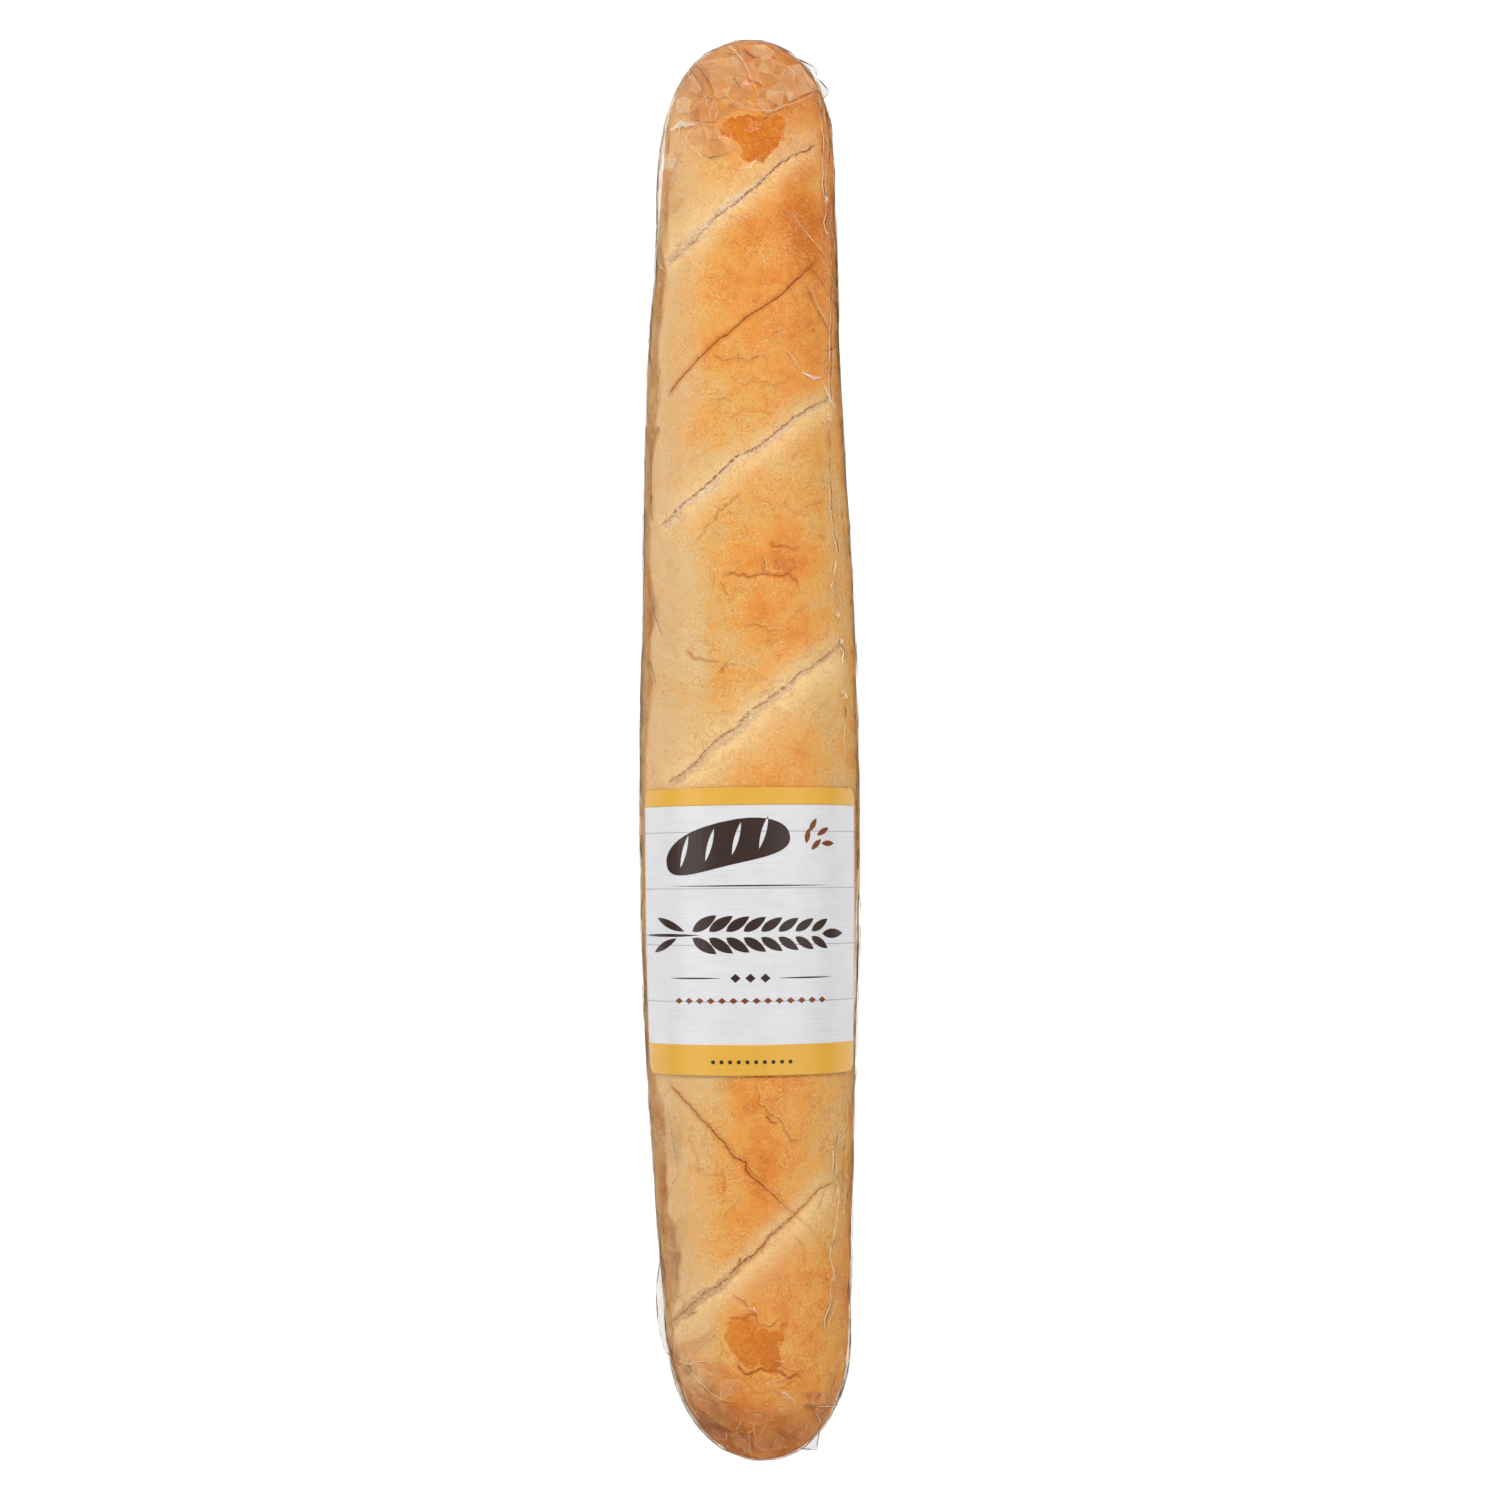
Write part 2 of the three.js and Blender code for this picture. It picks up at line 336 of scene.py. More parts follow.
class Recipe:
    # a material or a world, and the nodes it is made of
    def __init__(self, made):
        self.made = made
        made.use_nodes = True
        self.tree = made.node_tree
        self.tree.nodes.clear()

    def add(self, kind, settings=None, inputs=None, output=0):
        node = self.tree.nodes.new(kind)
        for key, value in (settings or {}).items():
            if key == "stops":
                ramp = node.color_ramp.elements
                while len(ramp) < len(value):
                    ramp.new(1.0)
                for element, (at, colour) in zip(ramp, value):
                    element.position, element.color = at, colour
            else:
                setattr(node, key, value)
        for key, value in (inputs or {}).items():
            if isinstance(value, Wire):
                self.tree.links.new(value.socket, node.inputs[key])
            else:
                node.inputs[key].default_value = value
        return Wire(self, node.outputs[output])

    def value(self, name):
        return self.add("ShaderNodeAttribute", {"attribute_name": name}, output="Fac")

    def place(self):
        # position in the object, in millimetres
        spot = self.add("ShaderNodeTexCoord", output="Object")
        return self.add("ShaderNodeVectorMath", {"operation": "SCALE"}, {0: spot, "Scale": 1 / mm})

    def noise(self, place, size, detail=2.0, roughness=0.5, distortion=0.0, output="Fac"):
        # size is the width of its patches in millimetres
        return self.add("ShaderNodeTexNoise", {}, {
            "Vector": place, "Scale": 1 / size, "Detail": detail, "Roughness": roughness,
            "Distortion": distortion}, output)

    def blend(self, share, under, over, how="MIX"):
        return self.add("ShaderNodeMix", {"data_type": "RGBA", "blend_type": how},
                        {0: share, 6: under, 7: over}, output=2)

    def bump(self, height, depth):
        # height is in millimetres
        return self.add("ShaderNodeBump", {}, {"Height": height, "Distance": depth * mm})

    def finish(self, surface, kind="ShaderNodeOutputMaterial"):
        out = self.tree.nodes.new(kind)
        self.tree.links.new(surface.socket, out.inputs["Surface"])
        return self.made


def newRecipe(name):
    return Recipe(bpy.data.materials.new(name))


crust = {
    "rows": 0.98,            # spacing of the rows of the mesh, in mm
    "rowsAtCuts": 0.5,
    "rowsUnderLabel": 2.2,
    "tipRows": 50,
    "fineColumns": 142,      # over the top and the flanks
    "plainColumns": 26,      # and underneath
    "fineShare": 0.62,       # of the way round that is fine
    "lean": 0.82,            # the rows lean with the cuts
    "leanFade": 50.0,        # but not at the tips
    "kinkEvery": 1.7,        # along the tears and wrinkles
    "swell": 0.35,           # height of the broad unevenness
    "ripple": 0.16,          # and of the finer one
    "cutReach": 16.0,        # how far from a cut its marks are kept
    "shoulder": (0.4, 6.0, 3.6),     # the raised crust beside a cut: height, distance, width
    "crackShoulder": (0.22, 2.6, 2.0),
    "tipBrownShade": (213.0, 31.0),       # where the brown of the tips starts, and over what length it deepens; partly real baking, partly painted shade
    "tipBrownShadeFar": 0.45,     # share of it at the far tip
    "rimShadeFade": (0.38, 0.17),         # where, on the way round, the painted shade of the flanks fades and how soon
    "broad": 15.0,           # widths of the patches of its uneven colour and of its grain
    "middle": 4.2,
    "small": 1.9,
    "grain": 0.9,
    "sand": 0.45,
    "pits": 1.3,             # of the torn crumb
    "netWidth": 9.0,         # of the meshes of the net of hair-fine cracks
    "sides": (-1.0, -0.8, -0.45, 0.0, 0.45, 0.8, 1.0),      # how brown it is from left to right; the paler left is partly painted light falling from the left
    "bakedAcross": (0.16, 0.14, 0.24, 0.46, 0.52, 0.46, 0.50),
    "lengths": (-250, -225, -150, 0, 100, 190, 225, 250),   # and what the place along adds
    "bakedAlong": (0.22, 0.10, 0.04, 0.0, 0.0, 0.06, 0.08, 0.16),
}
# Cuts, seen from above. crumb, paleness and line: half width of the torn crumb, how pale it is and how dark
# the line is, at five places along the path. side: how far the crumb lies to the upper left of the line, in
# its widths. banks: how far the pale bank reaches above and below the line. bankShare: how plain it is near
# the start and near the end. besideLine: what share of it is left right beside the line.
cuts = [
    {"path": [(-30.7, 171.5), (-26.1, 176.4), (-19.0, 182.5), (-12.2, 189.9), (-5.2, 194.4), (1.1, 199.4),
              (8.7, 207.0), (14.7, 210.9), (25.0, 216.2)],
     "crumb": (2.0, 2.2, 1.7, 0.5, 0.1), "paleness": (0.45, 0.65, 1.0, 0.3, 0.0),
     "line": (0.3, 0.5, 0.8, 1.0, 0.9), "side": 0.4, "depth": 0.5,
     "banks": (9.5, 5.5), "bankShare": (0.9, 0.7), "besideLine": 1.0},
    {"path": [(-33.0, 79.2), (-30.0, 81.6), (-23.2, 88.4), (-16.5, 93.7), (-9.8, 100.1), (-4.8, 104.0),
              (1.2, 106.9), (8.0, 111.5), (14.7, 117.5), (21.5, 121.8), (30.4, 126.7)],
     "crumb": (1.4, 1.9, 1.5, 1.1, 0.6), "paleness": (0.6, 0.8, 0.7, 0.5, 0.4),
     "line": (0.7, 0.9, 0.9, 0.7, 0.5), "side": -0.55, "depth": 0.45,
     "banks": (4.5, 8.5), "bankShare": (0.8, 0.85), "besideLine": 0.9},
    {"path": [(-30.5, -13.1), (-20.8, -5.8), (-12.0, 3.2), (-3.9, 8.2), (0.2, 13.5), (6.8, 17.5),
              (11.0, 21.0), (19.2, 27.7), (27.4, 33.1), (32.7, 38.0)],
     "crumb": (2.0, 1.9, 1.6, 0.9, 0.3), "paleness": (0.3, 0.4, 0.5, 0.5, 0.3),
     "line": (0.6, 0.7, 0.65, 0.65, 0.5), "side": -0.5, "depth": 0.5,
     "banks": (6.0, 11.0), "bankShare": (0.9, 1.2), "besideLine": 0.75},
    {"path": [(-29.6, -205.5), (-24.3, -200.0), (-18.6, -195.0), (-11.9, -190.5), (-6.6, -186.2),
              (-3.0, -183.0), (1.6, -180.1), (7.0, -173.4), (10.5, -170.5), (16.6, -165.2),
              (25.3, -156.4), (31.8, -153.2)],
     "crumb": (2.5, 2.6, 0.7, 0.1, 0.1), "paleness": (0.0, 0.0, 0.0, 0.0, 0.0),
     "line": (0.5, 0.6, 0.8, 0.6, 0.55), "side": -0.25, "depth": 0.5,
     "banks": (4.2, 8.5), "bankShare": (0.75, 1.1), "besideLine": 0.3},
]
# closed cracks: path, how plainly they show near the start, in the middle and near the end, and depth
cracks = [
    {"path": [(-30.2, 124.9), (-23.4, 134.5), (-13.9, 144.1), (-5.7, 150.1), (-1.8, 153.7), (4.6, 157.6),
              (11.3, 162.2), (18.8, 169.3), (25.5, 175.3)], "shows": (1.0, 1.0, 1.0), "depth": 0.22},
    {"path": [(-29.7, -117.6), (-24.4, -123.6), (-15.5, -133.2), (-10.2, -138.5), (-5.9, -144.9),
              (-1.3, -146.7), (-2.0, -149.5), (4.4, -154.8), (10.4, -160.5), (14.3, -163.8),
              (20.0, -168.7), (26.0, -175.8), (30.0, -183.6)], "shows": (0.9, 1.0, 0.2), "depth": 0.22},
]
# lifted edges of the thin outer crust, seen from above, and how plainly they show
tears = [
    ([(-1.6, 91.9), (-9.1, 85.9), (-15.1, 78.8), (-20.4, 70.3)], 0.75),
    ([(-13.7, 142.0), (-9.8, 139.9), (-5.5, 140.2), (0.0, 139.5), (3.4, 141.6), (8.0, 141.3)], 0.8),
    ([(6.9, 148.7), (11.5, 149.8)], 0.6),
    ([(-13.0, 125.0), (-9.5, 125.4), (-6.2, 124.6)], 0.6),
    ([(-13.0, 78.1), (-9.8, 76.7)], 0.6),
    ([(26.1, 88.0), (22.0, 86.6), (19.0, 85.9)], 0.6),
    ([(4.8, 68.9), (6.6, 63.2)], 0.9),
    ([(-10.8, 60.7), (-8.9, 57.9), (-6.9, 55.4)], 0.9),
    ([(-2.7, 44.7), (2.7, 45.4), (7.3, 43.0), (10.8, 43.7)], 0.7),
    ([(-11.7, 27.3), (-9.1, 30.5), (-8.4, 26.8)], 1.0),
    ([(-24.0, 35.5), (-17.0, 32.5), (-11.5, 29.0)], 0.35),
    ([(2.7, -117.2), (3.4, -125.3), (6.0, -126.7), (7.3, -129.6), (12.2, -132.8), (13.0, -136.3),
      (19.0, -140.9)], 1.0),
    ([(-6.2, -192.4), (-1.6, -196.3), (2.3, -200.6), (4.8, -205.2), (10.1, -203.1), (11.2, -199.9)], 1.0),
    ([(-1.0, -147.2), (1.0, -149.5), (2.4, -151.0)], 0.8),
    ([(17.5, 170.5), (13.0, 178.0), (8.5, 187.0)], 0.35),
    ([(-6.0, 184.0), (-2.0, 178.0), (4.0, 176.5), (6.0, 172.0)], 0.35),
    ([(22.0, 152.0), (24.5, 158.0), (23.0, 164.0)], 0.4),
    ([(10.0, 196.0), (14.0, 191.0), (20.0, 189.0)], 0.3),
    ([(-20.0, 104.0), (-14.0, 108.5), (-6.0, 110.0)], 0.3),
    ([(16.0, 82.0), (12.0, 86.0), (12.5, 92.0)], 0.35),
    ([(-16.0, 66.0), (-12.0, 63.0), (-13.0, 57.0)], 0.35),
    ([(10.0, 29.0), (15.0, 33.0), (22.0, 33.5)], 0.3),
    ([(-4.0, 21.0), (2.0, 24.5), (4.0, 30.0)], 0.25),
    ([(-22.0, -147.0), (-15.0, -150.5), (-10.0, -150.0)], 0.45),
    ([(-9.5, -168.0), (-7.5, -162.0), (-3.0, -159.0)], 0.4),
    ([(14.0, -186.0), (15.5, -193.0), (13.5, -199.0)], 0.5),
    ([(-13.0, -208.0), (-9.0, -213.0), (-10.0, -219.5)], 0.5),
    ([(10.5, -216.0), (14.0, -220.5), (20.0, -221.0)], 0.45),
]
# creases of the crust, darkened with painted shade
wrinkles = [
    ([(5.9, 73.5), (12.2, 71.4), (19.0, 72.1)], 0.7),
    ([(-10.8, 61.4), (-2.7, 62.5), (6.6, 62.5), (14.7, 62.1), (19.0, 55.0)], 0.8),
    ([(-24.0, 35.5), (-17.0, 32.0), (-10.8, 30.2)], 0.6),
    ([(-4.1, -115.0), (3.4, -115.7), (10.1, -115.7)], 1.0),
    ([(4.8, -130.6), (10.1, -132.8)], 0.8),
    ([(-5.1, -216.6), (-4.1, -219.4), (-2.0, -222.2), (0.5, -222.9), (2.3, -220.5), (4.1, -220.1),
      (6.6, -221.9), (9.8, -219.8), (14.4, -222.2), (20.8, -224.4)], 1.0),
    ([(-8.3, -202.4), (-5.9, -201.6), (-2.7, -203.1), (0.2, -200.9), (4.4, -201.6)], 0.8),
    ([(-3.4, -180.3), (-4.6, -182.5), (-5.0, -185.3), (-6.6, -187.1)], 1.0),
    ([(-21.0, -195.3), (-17.6, -193.5), (-14.9, -192.1)], 0.9),
    ([(-10.0, -149.0), (-8.5, -154.0), (-9.5, -158.0)], 0.5),
    ([(17.0, 134.0), (10.0, 130.0), (2.0, 131.5), (-6.0, 128.0)], 0.4),
    ([(-9.0, 117.0), (-2.0, 121.0), (6.0, 119.5), (13.0, 123.0)], 0.35),
    ([(8.0, 168.0), (14.0, 163.5), (18.0, 158.0)], 0.4),
    ([(-22.0, -139.0), (-18.0, -146.0), (-19.5, -152.0)], 0.4),
    ([(16.0, -172.0), (20.0, -178.0), (19.0, -184.0)], 0.4),
    ([(-5.0, -226.0), (4.0, -229.0), (14.0, -227.0)], 0.4),
]
# browner and paler places seen from above: x, y, reach across, reach along, how much
bakedPlaces = [
    (26, 186, 10, 22, 0.34), (16, 184, 12, 10, 0.24), (2, 168, 14, 10, 0.24), (22, 160, 10, 16, 0.14),
    (2, 184, 12, 7, 0.20), (12, 147, 12, 9, 0.16), (-2, 138, 12, 7, 0.06), (10, 130, 12, 8, 0.06),
    (12, 100, 12, 5, -0.16), (-19, 155, 12, 22, 0.14), (25, 100, 8, 12, -0.12), (18, 212, 9, 8, 0.24),
    (18, 76, 9, 9, 0.14), (12, 66, 14, 5, 0.22), (14, 58, 11, 9, 0.16), (2, 54, 14, 12, 0.10),
    (26, 66, 8, 9, -0.22), (-9, 28, 5, 5, 0.20), (6, 42, 14, 8, 0.14), (-4, 20, 10, 6, -0.14),
    (0, 31, 10, 5, -0.08), (14, 18, 8, 10, 0.12), (4, -8, 12, 6, 0.08), (1, -126, 6, 13, 0.14),
    (14, -120, 12, 7, 0.06), (15, -143, 9, 9, 0.08), (4, -150, 6, 14, 0.10), (22, -148, 8, 8, -0.12),
    (-11, -163, 10, 12, 0.22), (1, -166, 6, 7, 0.08), (2, -196, 14, 12, 0.20), (12, -190, 10, 8, 0.10),
    (26, -194, 8, 12, 0.06), (16, -208, 10, 10, 0.08), (20, -224, 14, 12, 0.14), (0, -240, 30, 9, 0.22),
    (-16, -222, 12, 14, 0.10), (4, -230, 14, 8, 0.12), (0, 234, 24, 14, 0.06), (0, 246, 30, 6, 0.14),
    (-18, 232, 14, 12, 0.36), (-24, 212, 9, 12, 0.26), (14, 232, 12, 12, 0.08), (-26, 140, 9, 30, 0.06),
    (-25, 30, 12, 60, -0.06), (-24, -150, 10, 24, 0.02), (-14, -201, 8, 8, -0.10), (26, 20, 8, 9, -0.05),
    (28, 45, 8, 30, -0.02), (28, -140, 8, 26, -0.12), (22, -174, 9, 12, -0.12), (31, 5, 8, 34, -0.22),
    (24, 80, 9, 20, -0.13), (20, 157, 10, 14, -0.08), (31, -125, 8, 20, -0.12), (18, -213, 10, 9, -0.14),
    (18, -230, 10, 9, -0.26),
]
# where the film sticks flat to a moist dark patch: how plain it is, how far its edge wanders, and its outline
stuckPatches = [
    (0.95, 1.0, [(-11.5, 221.0), (-8.0, 225.5), (-3.0, 227.3), (4.0, 226.2), (11.5, 227.0), (13.3, 222.5),
                 (11.8, 216.5), (8.5, 212.2), (4.5, 209.2), (0.0, 210.5), (-2.5, 211.9), (-5.0, 215.5),
                 (-8.5, 217.5)]),
    (0.8, 2.0, [(-9.5, -205.5), (-6.2, -203.0), (-1.0, -203.6), (3.2, -203.8), (7.0, -205.4),
                (11.0, -204.2), (11.5, -209.0), (9.8, -213.5), (11.2, -218.5), (8.0, -221.5), (3.5, -220.3),
                (0.8, -221.5), (-5.0, -217.8), (-9.2, -214.5), (-11.0, -210.0)]),
]
# how far in the painted shade of the lower flank shows from above: station, share of the half width, on the
# left
leftFlankShade = [(236, -0.97), (212, -0.93), (190, -0.88), (170, -0.85), (147, -0.88), (128, -0.85),
             (112, -0.87), (98, -0.92), (85, -0.90), (66, -0.92), (50, -0.87), (37, -0.90), (20, -0.87),
             (2, -0.91), (-20, -0.94), (-112, -0.92), (-124, -0.87), (-133, -0.84), (-146, -0.86),
             (-155, -0.84), (-163, -0.86), (-168, -0.80), (-180, -0.78), (-191, -0.80), (-198, -0.88),
             (-215, -0.88), (-236, -0.86)]
# and on the right, where the painted shade starts more softly
rightFlankShade = [(240, 0.85), (180, 0.85), (120, 0.88), (0, 0.93), (-110, 0.93), (-140, 0.90), (-190, 0.80),
              (-240, 0.74)]
labelPlace = {"middle": -63.9, "along": 101.6, "around": 88.0, "shift": 0.3, "tilt": 0.012, "corner": 4.0,
              "pinch": 0.9}


def crustRows():
    rows = []
    station = -halfLength + loafForm["nearTip"]
    stop = halfLength - loafForm["farTip"]
    crossings = [np.mean([p[1] for p in cut["path"]]) for cut in cuts]
    while station < stop:
        rows.append(station)
        if abs(station - labelPlace["middle"]) < labelPlace["along"] / 2 - 8:
            station += crust["rowsUnderLabel"]
        else:
            atCut = min(abs(station - at) for at in crossings) < 7
            station += crust["rowsAtCuts"] if atCut else crust["rows"]
    t = np.linspace(0, 1, crust["tipRows"] + 1)[:0:-1] * halfTurn / 2
    nearTip = -halfLength + loafForm["nearTip"] * (1 - np.cos(t[::-1]))
    farTip = halfLength - loafForm["farTip"] * (1 - np.cos(t))
    return np.concatenate([nearTip[:-1], rows, farTip])


def crustColumns():
    fine = np.linspace(-crust["fineShare"], crust["fineShare"], crust["fineColumns"])
    plain = np.linspace(crust["fineShare"], 2 - crust["fineShare"], crust["plainColumns"] + 2)[1:-1]
    return np.concatenate([fine, plain])


def pathBetween(plan, rng, wobble):
    # the way between given points, with small kinks every couple of millimetres
    path = overCrust(plan)
    steps = walkedAlong(path)
    fine = placesOn(path, steps, np.linspace(0, steps[-1], max(2, int(steps[-1] / crust["kinkEvery"]) + 1)))
    fine[1:-1] += rng.normal(0, wobble, fine[1:-1].shape)
    return fine


def outlineEdge(plan, across, station):
    # signed distance to a closed outline, negative inside
    loop = overCrust(list(plan) + [plan[0]])
    best = np.full(across.shape, 1e9)
    inside = np.zeros(across.shape, bool)
    for (ax, ay), (bx, by) in zip(loop[:-1], loop[1:]):
        dx, dy = bx - ax, by - ay
        t = np.clip(((across - ax) * dx + (station - ay) * dy) / (dx * dx + dy * dy), 0, 1)
        best = np.minimum(best, np.hypot(across - ax - t * dx, station - ay - t * dy))
        crosses = (ay > station) != (by > station)
        inside ^= crosses & (across < (bx - ax) * (station - ay) / (by - ay + 1e-12) + ax)
    return np.where(inside, -best, best)


def markLines(lines, wobble, seed, across, station):
    # the nearest of some short lines: signed distance to it and how plainly it shows
    rng = np.random.default_rng(seed)
    gapTo, shows = np.full(across.shape, 8.0), np.zeros(across.shape)
    for plan, strength in lines:
        path = pathBetween(plan, rng, wobble)
        reach = 7.0
        close = np.nonzero((across > path[:, 0].min() - reach) & (across < path[:, 0].max() + reach)
                           & (station > path[:, 1].min() - reach) & (station < path[:, 1].max() + reach))
        gap, passed = distanceTo(path, across[close], station[close])
        ends = smoothStep(passed / 0.12) * smoothStep((1 - passed) / 0.18) * strength
        nearer = np.abs(gap) < np.abs(gapTo[close])
        gapTo[close] = np.where(nearer, gap, gapTo[close])
        shows[close] = np.where(nearer, ends * smoothStep((6.0 - np.abs(gap)) / 2.5), shows[close])
    return gapTo, shows


def keepNearest(field, gapName, here):
    # takes the numbers of one mark wherever it is the nearest so far
    nearer = np.abs(here[gapName]) < np.abs(field[gapName])
    for key, numbers in here.items():
        field[key] = np.where(nearer, numbers, field[key])


def crustFields(across, station, planX):
    # every mark of the crust as numbers over its surface
    shape = across.shape
    field = {"cutGap": np.full(shape, 40.0), "cutAside": np.full(shape, 9.0)}
    field.update({key: np.zeros(shape) for key in ("cutCrumb", "cutOn", "cutPale", "cutLine", "pale")})
    fifths = np.linspace(0, 1, 5)
    jag = 0.5 * unevenness(across, station, 3.8, 11) + 0.36 * unevenness(across, station, 1.4, 12)
    relief = crust["swell"] * unevenness(across, station, 21, 1)
    relief = relief + crust["ripple"] * unevenness(across, station, 8, 2)
    for cut in cuts:
        gap, passed = distanceTo(overCrust(cut["path"]), across, station)
        ends = smoothStep(passed / 0.05) * smoothStep((1 - passed) / 0.06)
        on = ends * smoothStep((crust["cutReach"] - np.abs(gap)) / 3)
        crumb = np.interp(passed, fifths, cut["crumb"])
        crumb = crumb * (1 + 0.35 * unevenness(across, station, 4.2, 13))
        above, below = cut["banks"]
        bankTo = np.where(gap > 0, bell(gap, above), bell(gap, below))
        bankTo = bankTo * np.interp(passed, (0.1, 0.75), cut["bankShare"])
        bankTo = bankTo * smoothStep((1 - passed) / 0.2 + 0.4)
        bankTo = bankTo * (1 - (1 - cut["besideLine"]) * bell(gap, 1.6))
        bankTo = bankTo * smoothStep(passed / 0.02) * smoothStep((1 - passed) / 0.02)
        field["pale"] = np.maximum(field["pale"], bankTo)
        gap = gap + jag
        relief = relief - cut["depth"] * ends * bell(gap, 1.6 + crumb)
        rise, away, wide = crust["shoulder"]
        relief = relief + rise * ends * bell(np.abs(gap) - away, wide)
        aside = (gap - crumb * cut["side"]) / (crumb + 0.15)
        relief = relief + 0.3 * ends * unevenness(across, station, 1.3, 14) * bell(aside, 1.2)
        keepNearest(field, "cutGap", {
            "cutGap": gap, "cutAside": aside, "cutCrumb": crumb, "cutOn": on,
            "cutPale": np.interp(passed, fifths, cut["paleness"]),
            "cutLine": np.interp(passed, fifths, cut["line"])})

    field.update(crackGap=np.full(shape, 12.0), crackOn=np.zeros(shape))
    for crack in cracks:
        gap, passed = distanceTo(overCrust(crack["path"]), across, station)
        gap = gap + 0.4 * unevenness(across, station, 2.9, 15) + 0.22 * unevenness(across, station, 1.1, 16)
        ends = smoothStep(passed / 0.06) * smoothStep((1 - passed) / 0.1)
        ends = ends * np.interp(passed, (0.2, 0.5, 0.8), crack["shows"])
        rise, away, wide = crust["crackShoulder"]
        relief = relief - crack["depth"] * ends * bell(gap, 0.9)
        relief = relief + rise * ends * bell(np.abs(gap) - away, wide)
        keepNearest(field, "crackGap", {
            "crackGap": gap, "crackOn": ends * smoothStep((5 - np.abs(gap)) / 2)})

    tearGap, tearOn = markLines(tears, 0.55, 5, across, station)
    lifted = np.exp(-tearGap / 2.2) * smoothStep(tearGap / 0.6)
    relief = relief + 0.24 * tearOn * np.where(tearGap > 0, lifted, 0)
    wrinkleGap, wrinkleOn = markLines(wrinkles, 0.6, 6, across, station)
    relief = relief - 0.18 * wrinkleOn * bell(wrinkleGap, 1.2)
    field.update(tearGap=tearGap, tearOn=tearOn, wrinkleGap=wrinkleGap, wrinkleOn=wrinkleOn)

    patchEdge, patchOn = np.full(shape, 30.0), np.zeros(shape)
    ragged = 1.2 * unevenness(across, station, 5.5, 17) + 0.9 * unevenness(across, station, 2.3, 18)
    for strength, wander, outline in stuckPatches:
        edge = outlineEdge(outline, across, station) + wander * ragged
        nearer = edge < patchEdge
        patchEdge = np.where(nearer, edge, patchEdge)
        patchOn = np.where(nearer, strength, patchOn)
    field.update(patchEdge=patchEdge, patchOn=patchOn)

    half = sectionAt(station)[0]
    side = np.clip((planX - axisAt(station)) / half, -1, 1)
    baked = np.interp(side, crust["sides"], crust["bakedAcross"])
    baked = baked + np.interp(station, crust["lengths"], crust["bakedAlong"])
    for x, y, reachX, reachY, amount in bakedPlaces:
        baked = baked + amount * bell(planX - x, reachX) * bell(station - y, reachY)
    baked = baked + 0.07 * unevenness(across, station, 13, 31) + 0.05 * unevenness(across, station, 6, 32)
    field["baked"] = baked
    # a paler left flank: partly less-browned crust, partly painted light falling from the left
    field["flank"] = smoothStep((-side - 0.35) / 0.5)
    # painted shade: a tan band along the lower flanks, which turn away from the light, sharp-edged on the
    # left and weaker on the right
    wavy = side + 0.02 * unevenness(across, station, 9, 33) + 0.012 * unevenness(across, station, 4, 34)
    leftFrom = np.interp(station, *zip(*leftFlankShade[::-1]))
    shadeOnLeft = smoothStep((leftFrom - wavy) / 0.04)
    rightFrom = np.interp(station, *zip(*rightFlankShade[::-1]))
    shadeOnRight = smoothStep((wavy - rightFrom) / 0.12)
    around = np.abs(across) / girthAt(station)
    fadeFrom, fadeOver = crust["rimShadeFade"]
    field["rim"] = np.maximum(0.45 * shadeOnRight, shadeOnLeft) * (1 - smoothStep((around - fadeFrom) / fadeOver))
    # browner tips: partly real baking, partly painted shade where the tips and their sides curve away from
    # the light
    late = np.where(station < 0, 8 * (1 + side), 0)
    tipFrom, tipOver = crust["tipBrownShade"]
    tip = smoothStep((np.abs(station) - tipFrom - late) / tipOver)
    tip = tip * (0.55 + 0.45 * smoothStep(np.abs(side) / 0.7))
    field["tip"] = tip * np.where(station > 0, crust["tipBrownShadeFar"], 1.0)
    field["underneath"] = smoothStep((around - 0.55) / 0.2)
    return field, relief


def onTop(relief, across, station):
    # the relief fades out under the loaf and at the very tips
    return relief * (1 - smoothStep((np.abs(across) / girthAt(station) - 0.55) / 0.1)) * sectionAt(station)[4]


